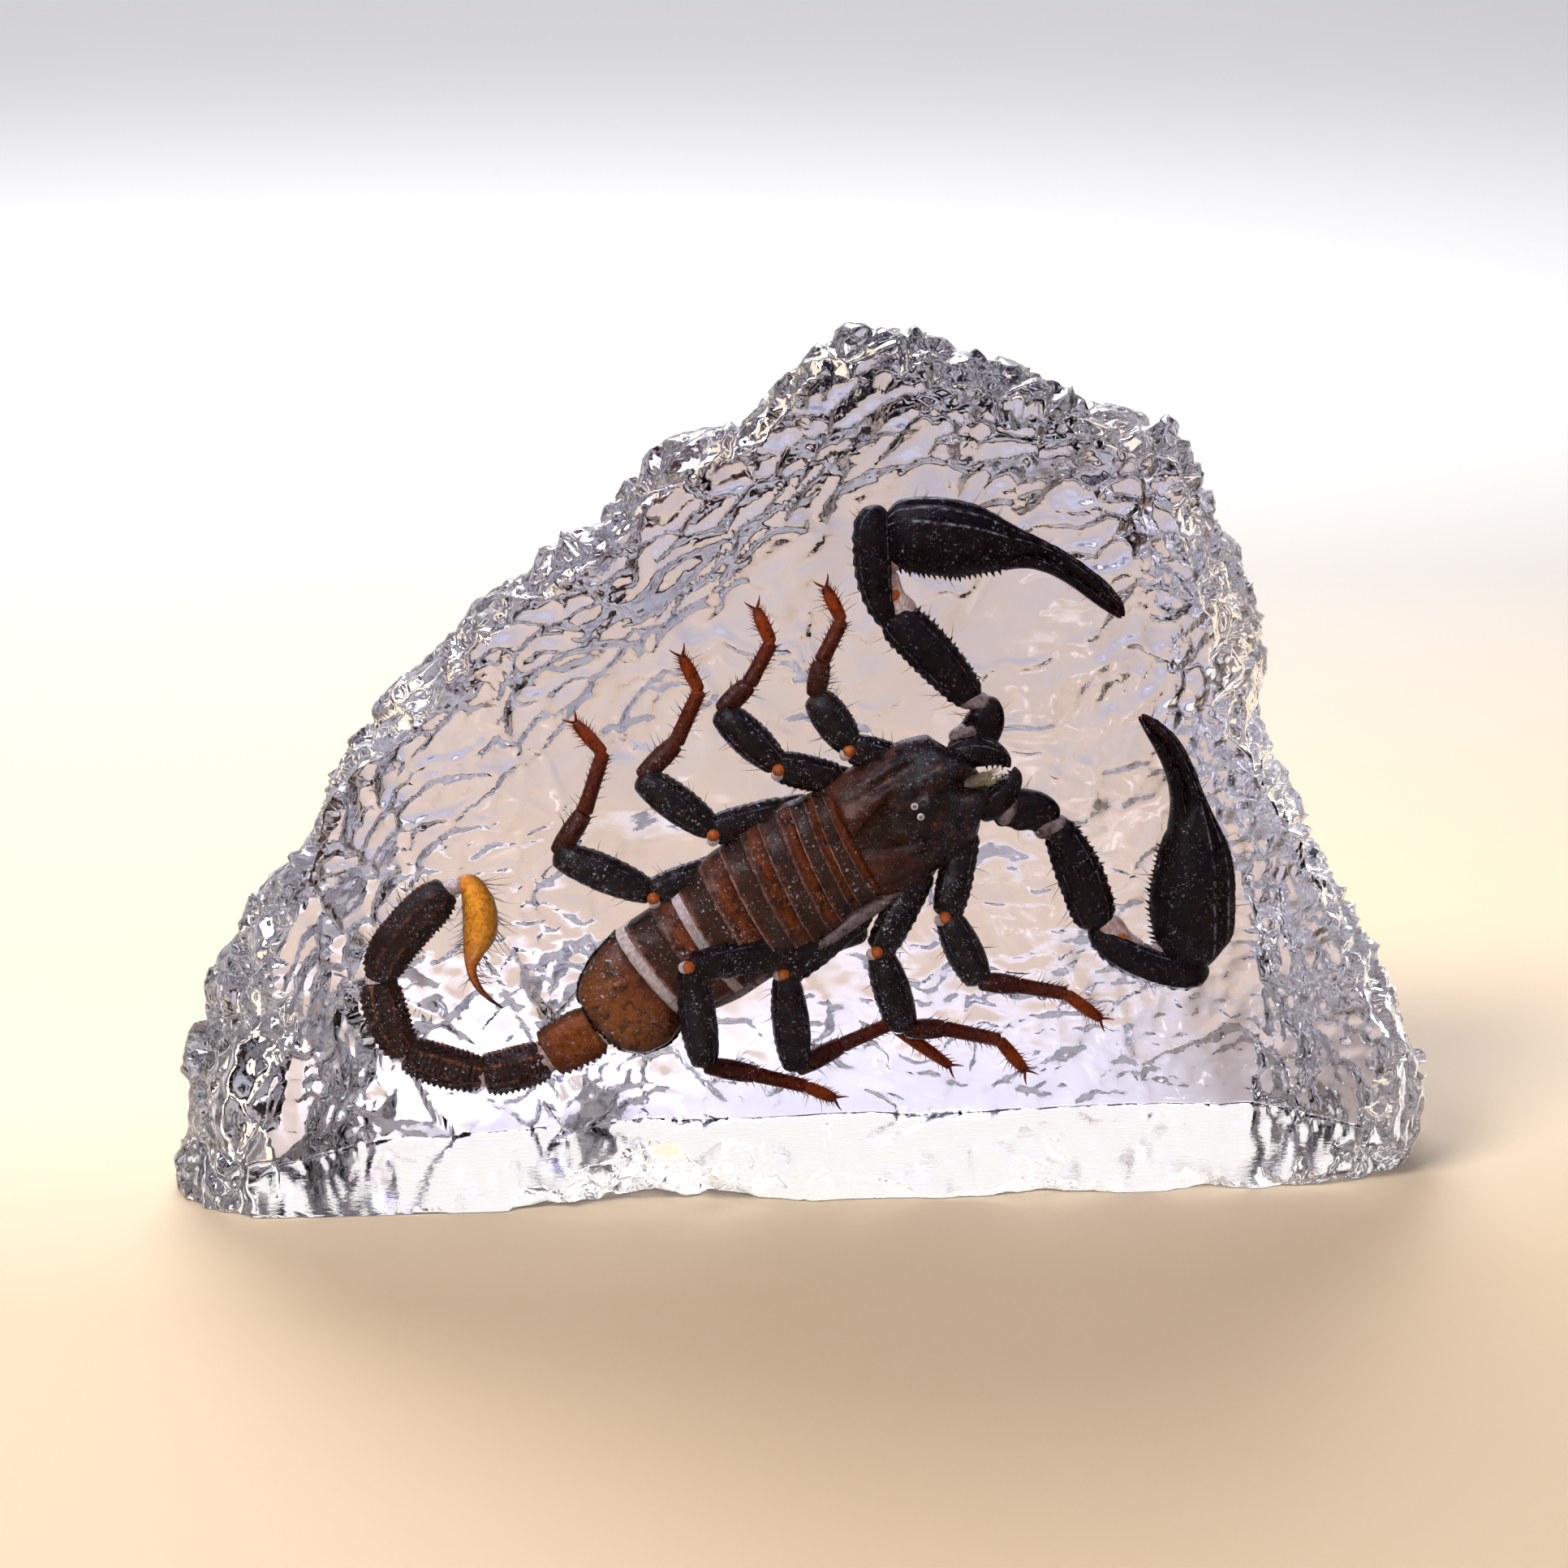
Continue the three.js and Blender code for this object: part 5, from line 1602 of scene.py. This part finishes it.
ARMS = (
    Arm(
        "top_arm", 1,
        trochanter=((17.9, 50.2, 1.9, 1.9, -0.4), (20.2, 51.8, 2.3, 2.1, -0.4), (20.9, 54.2, 2.0, 2.0, 0), (20.4, 56.0, 1.3, 1.5, 0)),
        femur=((19.7, 55.3, 1.5, 1.7, 0), (17.1, 58.4, 2.2, 2.4, 0), (13.5, 62.4, 2.5, 2.5, 0), (10.6, 65.2, 2.1, 2.0, 0),
               (9.8, 65.9, 1.6, 1.7, 0)),
        patella=((10.3, 63.8, 0.8, 1.3, 0), (8.7, 67.9, 1.7, 2.2, 0), (8.1, 73.0, 2.1, 2.6, 0), (8.2, 76.2, 1.9, 2.2, 0),
                 (9.1, 77.9, 1.3, 1.5, 0)),
        palm=((8.9, 74.9, 2.5, 2.0, 0), (10.4, 74.8, 3.5, 2.8, 0), (12.6, 74.6, 4.05, 3.2, 0), (15.6, 74.2, 4.25, 3.4, 0),
              (18.6, 73.8, 4.0, 3.2, 0), (21.6, 73.3, 3.1, 2.5, 0)),
        fingers=((22.4, 73.0, 2.6, 2.0, 0), (26.2, 72.1, 1.62, 1.5, 0), (28.7, 71.0, 1.35, 1.3, 0), (31.4, 69.2, 1.22, 1.1, 0),
                 (33.8, 67.3, 1.15, 1.0, 0), (35.5, 65.7, 0.8, 0.8, 0), (36.2, 64.8, 0.35, 0.4, 0)),
        webs=(((10.2, 64.8, 1.0, 1.3, 0.2), (11.4, 65.6, 1.7, 1.5, 0.2), (10.6, 67.8, 1.1, 1.3, 0.2), (10.1, 70.6, 0.7, 1.0, 0.2)),
              ((10.2, 70.4, 0.7, 1.0, 0.2), (10.3, 72.2, 0.9, 1.2, 0.2), (9.6, 74.4, 0.9, 1.2, 0.2)),
              ((21.3, 55.2, 0.9, 1.7, 0.0), (19.7, 55.6, 1.1, 1.9, 0.1), (17.6, 55.6, 0.8, 1.7, -0.2)),
              ((16.8, 51.2, 0.7, 1.6, 0.0), (18.4, 51.9, 1.0, 1.9, 0.2), (20.0, 52.8, 0.8, 1.7, 0.0))),
        condyle=(10.4, 68.0, 1.0),
    ),
    Arm(
        "side_arm", -1,
        trochanter=((21.6, 43.0, 1.7, 1.8, -0.6), (24.8, 42.9, 2.3, 2.2, -0.4), (27.4, 42.4, 2.1, 2.0, -0.2), (29.2, 41.3, 1.2, 1.5, 0)),
        femur=((28.5, 41.9, 1.3, 1.6, 0), (30.3, 38.4, 2.2, 2.2, 0), (32.4, 33.6, 2.6, 2.5, 0), (33.6, 29.6, 2.1, 2.0, 0),
               (33.8, 28.3, 1.5, 1.6, 0)),
        patella=((33.0, 28.8, 0.8, 1.3, 0), (35.8, 26.5, 1.7, 2.1, 0), (40.6, 24.1, 2.0, 2.5, 0), (44.8, 23.2, 1.9, 2.3, 0),
                 (47.0, 23.2, 1.3, 1.7, 0)),
        palm=((46.4, 23.6, 1.9, 2.0, 0), (45.6, 25.4, 3.6, 2.8, 0), (45.0, 28.4, 4.55, 3.3, 0), (44.7, 31.4, 4.8, 3.5, 0),
              (44.8, 35.0, 4.5, 3.3, 0), (44.7, 38.4, 3.7, 2.8, 0)),
        fingers=((44.5, 39.8, 2.8, 2.3, 0), (43.8, 43.6, 1.8, 1.8, 0), (42.6, 47.4, 1.4, 1.5, 0), (41.0, 50.4, 1.2, 1.2, 0),
                 (39.5, 52.3, 0.85, 0.9, 0), (38.4, 53.5, 0.4, 0.4, 0)),
        webs=(((33.9, 29.3, 1.1, 1.3, 0.2), (35.3, 28.9, 1.5, 1.5, 0.2), (37.2, 27.5, 0.9, 1.2, 0.2), (39.4, 26.3, 0.5, 0.9, 0.2)),
              ((40.0, 26.3, 0.5, 0.8, 0.2), (42.2, 25.7, 0.8, 1.0, 0.2), (44.6, 24.7, 0.8, 1.1, 0.2)),
              ((22.6, 41.2, 0.8, 1.7, 0.0), (23.4, 42.8, 1.1, 2.1, 0.2), (24.2, 44.8, 0.8, 1.7, 0.0)),
              ((26.6, 39.9, 0.9, 1.6, 0.0), (28.4, 40.9, 1.2, 1.9, 0.1), (30.4, 41.2, 0.8, 1.7, 0.0))),
        condyle=(36.6, 27.8, 0.9),
    ),
)

LEGS = {
    "leg_left_1": ((13.6, 47.6, -1), (5.7, 50.6, 0.6), (1.7, 56.5, 0.4), (2.4, 60.4, 0), (4.7, 65.0, -0.4), (2.9, 68.7, -0.6)),
    "leg_left_2": ((4.4, 46.6, -1), (-2.5, 48.7, 0.6), (-8.9, 55.0, 0.4), (-5.7, 58.0, 0), (-3.2, 62.6, -0.4), (-4.8, 66.4, -0.6)),
    "leg_left_3": ((-1.4, 43.0, -1.6), (-9.8, 41.3, 0.4), (-17.8, 47.6, 0.4), (-13.9, 51.4, 0), (-11.2, 57.3, -0.4), (-13.1, 61.2, -0.6)),
    "leg_left_4": ((-8.4, 36.6, -1.6), (-16.7, 34.1, 0.4), (-27.3, 39.0, 0.4), (-24.2, 43.6, 0), (-22.0, 50.4, -0.4), (-25.0, 53.9, -0.6)),
    "leg_right_1": ((18.8, 40.4, -1), (16.7, 30.8, 0.6), (20.5, 22.8, 0.6), (25.0, 22.1, 0.2), (30.5, 20.9, -0.2), (34.6, 17.7, -0.4)),
    "leg_right_2": ((14.0, 36.0, -1), (9.0, 26.8, 0.6), (12.0, 17.3, 0.6), (16.5, 17.2, 0.2), (22.9, 15.6, 0), (26.0, 11.7, -0.4)),
    "leg_right_3": ((7.6, 31.6, -1), (-1.7, 24.5, 1.2), (-0.4, 13.0, 0.8), (4.9, 15.2, -1.4), (10.5, 17.4, -2.2), (17.4, 12.3, -1.6)),
    "leg_right_4": ((2.6, 28.0, 0.6), (-12.6, 26.4, 5.4), (-10.9, 14.2, 3.0), (-5.1, 12.6, 1.6), (0.7, 10.8, 0.6), (4.0, 9.1, 0)),
}


class Scorpion:
    """The dried forest scorpion, spread flat in the block."""

    def build(self) -> None:
        """Model every part of it."""
        Underside().build()
        BackPlates().build()
        BackShield().build()
        Jaws().build()
        for arm in ARMS:
            arm.build()
        for name, joints in LEGS.items():
            WalkingLeg(name, joints).build()
        Tail().build()


# ---- the studio ---------------------------------------------------------------------------------


@dataclass(frozen=True)
class PaleFloor:
    """A plain pale table top: beige, paler far away, with a soft pool of light below the block."""

    depths: tuple[float, float] = (-0.2, 0.5)
    across: Sequence[tuple[float, Colour]] = (
        (0.0, (0.33, 0.25, 0.16)), (0.214, (0.36, 0.275, 0.175)), (0.314, (0.45, 0.37, 0.27)),
        (0.4, (0.50, 0.40, 0.27)), (0.52, (0.46, 0.39, 0.29)), (0.714, (0.40, 0.375, 0.335)), (1.0, (0.50, 0.50, 0.47)),
    )
    pool: Colour = (0.90, 0.88, 0.84)
    pool_half: float = 0.064
    pool_from: float = -0.011
    pool_to: float = 0.07
    fade: tuple[float, float, float] = (0.03, 0.004, 0.045)

    def build(self) -> bpy.types.Material:
        """Make the material."""
        graph = Graph("pale_floor")
        coords = graph.add("TexCoord").outputs["Object"]
        across, depth = graph.add("SeparateXYZ", {0: coords}).outputs[:2]
        spread = graph.add("MapRange", {0: depth, 1: self.depths[0], 2: self.depths[1]}).outputs[0]
        aside = graph.math("ABSOLUTE", across)
        below = graph.math("MULTIPLY", graph.window(aside, self.pool_half, self.pool_half - self.fade[0]),
                           graph.window(depth, self.pool_from - self.fade[1], self.pool_from))
        below = graph.math("MULTIPLY", below, graph.window(depth, self.pool_to, self.pool_to - self.fade[2]))
        colour = graph.mix(below, graph.ramp(spread, self.across), self.pool)
        shader = graph.add("BsdfPrincipled", {"Base Color": colour, "Roughness": 0.6})
        graph.surface(shader)
        return graph.material


@dataclass
class Studio:
    """The camera, the plain floor, the soft light and the pale surroundings."""

    aim: Colour = (-3.377, -23.0, 48.882)
    azimuth: float = -5.0
    elevation: float = 15.0
    distance: float = 478.38
    lens: float = 100.0
    floor_half: float = 2500.0
    exposure: float = 0.12
    gamma: float = 0.85
    black_level: Colour = (0.021, 0.019, 0.016)
    behind: Sequence[tuple[float, Colour]] = (
        (0.0, (0.94, 0.92, 0.90)), (0.42, (0.94, 0.93, 0.92)), (0.75, (0.46, 0.46, 0.62)), (1.0, (0.40, 0.40, 0.58)))
    before: Sequence[tuple[float, Colour]] = (
        (0.0, (0.46, 0.45, 0.50)), (0.35, (0.40, 0.40, 0.50)), (0.75, (0.42, 0.42, 0.58)), (1.0, (0.40, 0.40, 0.58)))

    def place_camera(self) -> None:
        """Set the camera where the block is seen a little from the left and above."""
        az, el = math.radians(self.azimuth), math.radians(self.elevation)
        back = Vector((math.sin(az) * math.cos(el), -math.cos(az) * math.cos(el), math.sin(el)))
        data = bpy.data.cameras.new("camera")
        data.lens = self.lens
        data.sensor_width = 36.0
        data.clip_start = 0.01
        camera = bpy.data.objects.new("camera", data)
        bpy.context.scene.collection.objects.link(camera)
        camera.location = (Vector(self.aim) + back * self.distance) * MM
        camera.rotation_euler = back.to_track_quat("Z", "Y").to_euler()
        bpy.context.scene.camera = camera

    def lay_floor(self) -> None:
        """Lay the plain floor under the block."""
        bm = bmesh.new()
        bmesh.ops.create_grid(bm, x_segments=2, y_segments=2, size=self.floor_half * MM)
        mesh = bpy.data.meshes.new("floor")
        bm.to_mesh(mesh)
        bm.free()
        mesh.materials.append(PaleFloor().build())
        floor = bpy.data.objects.new("floor", mesh)
        floor.location = (0.0, 0.0, -0.0001)
        bpy.context.scene.collection.objects.link(floor)

    def surround(self) -> None:
        """Make the surroundings: white behind, dim in front, and lilac grey overhead."""
        world = bpy.data.worlds.new("surroundings")
        world.use_nodes = True
        tree = world.node_tree
        tree.nodes.clear()
        coords = tree.nodes.new("ShaderNodeTexCoord")
        split = tree.nodes.new("ShaderNodeSeparateXYZ")
        tree.links.new(coords.outputs["Generated"], split.inputs[0])
        layers = []
        for stops in (self.behind, self.before):
            ramp = tree.nodes.new("ShaderNodeValToRGB")
            while len(ramp.color_ramp.elements) < len(stops):
                ramp.color_ramp.elements.new(0.5)
            for element, (place, colour) in zip(ramp.color_ramp.elements, stops):
                element.position = place
                element.color = (*colour, 1.0)
            tree.links.new(split.outputs["Z"], ramp.inputs["Fac"])
            layers.append(ramp.outputs["Color"])
        turn = tree.nodes.new("ShaderNodeMapRange")
        turn.inputs[1].default_value = -0.35
        turn.inputs[2].default_value = 0.25
        tree.links.new(split.outputs["Y"], turn.inputs[0])
        mix = tree.nodes.new("ShaderNodeMix")
        mix.data_type = "RGBA"
        tree.links.new(turn.outputs[0], mix.inputs[0])
        tree.links.new(layers[1], mix.inputs[6])
        tree.links.new(layers[0], mix.inputs[7])
        background = tree.nodes.new("ShaderNodeBackground")
        background.inputs["Strength"].default_value = 1.0
        output = tree.nodes.new("ShaderNodeOutputWorld")
        tree.links.new(mix.outputs[2], background.inputs["Color"])
        tree.links.new(background.outputs[0], output.inputs["Surface"])
        bpy.context.scene.world = world
        view = bpy.context.scene.view_settings
        view.view_transform, view.exposure, view.gamma = "Standard", self.exposure, self.gamma
        view.use_curve_mapping = True
        view.curve_mapping.black_level = self.black_level
        view.curve_mapping.update()

    def add_softbox(self, name: str, at: Colour, towards: Colour, size: float, watts: float) -> None:
        """Hang one large soft light.

        Args:
            name: the light's name.
            at: where it hangs.
            towards: what it shines on.
            size: the side of its square.
            watts: its power.
        """
        data = bpy.data.lights.new(name, "AREA")
        data.size = size * MM
        data.energy = watts
        lamp = bpy.data.objects.new(name, data)
        lamp.location = Vector(at) * MM
        lamp.rotation_euler = (Vector(at) - Vector(towards)).to_track_quat("Z", "Y").to_euler()
        bpy.context.scene.collection.objects.link(lamp)

    def build(self) -> None:
        """Set up everything around the block."""
        self.place_camera()
        self.lay_floor()
        self.surround()
        self.add_softbox("softbox_back", (-60, 650, 800), (0, 0, 40), 500, 8.0)
        self.add_softbox("softbox_front", (-400, -380, 640), (0, 0, 40), 260, 9.0)
        self.add_softbox("softbox_far", (0, 2100, 1500), (0, 1900, 0), 1800, 22.0)
        log.info("studio: camera, floor, surroundings and softboxes")


def main() -> None:
    """Build the studio, the block and the scorpion in turn."""
    logging.basicConfig(level=logging.INFO, format="%(message)s")
    Studio().build()
    ResinBlock().build(ClearResin())
    Scorpion().build()


if __name__ == "__main__":
    main()
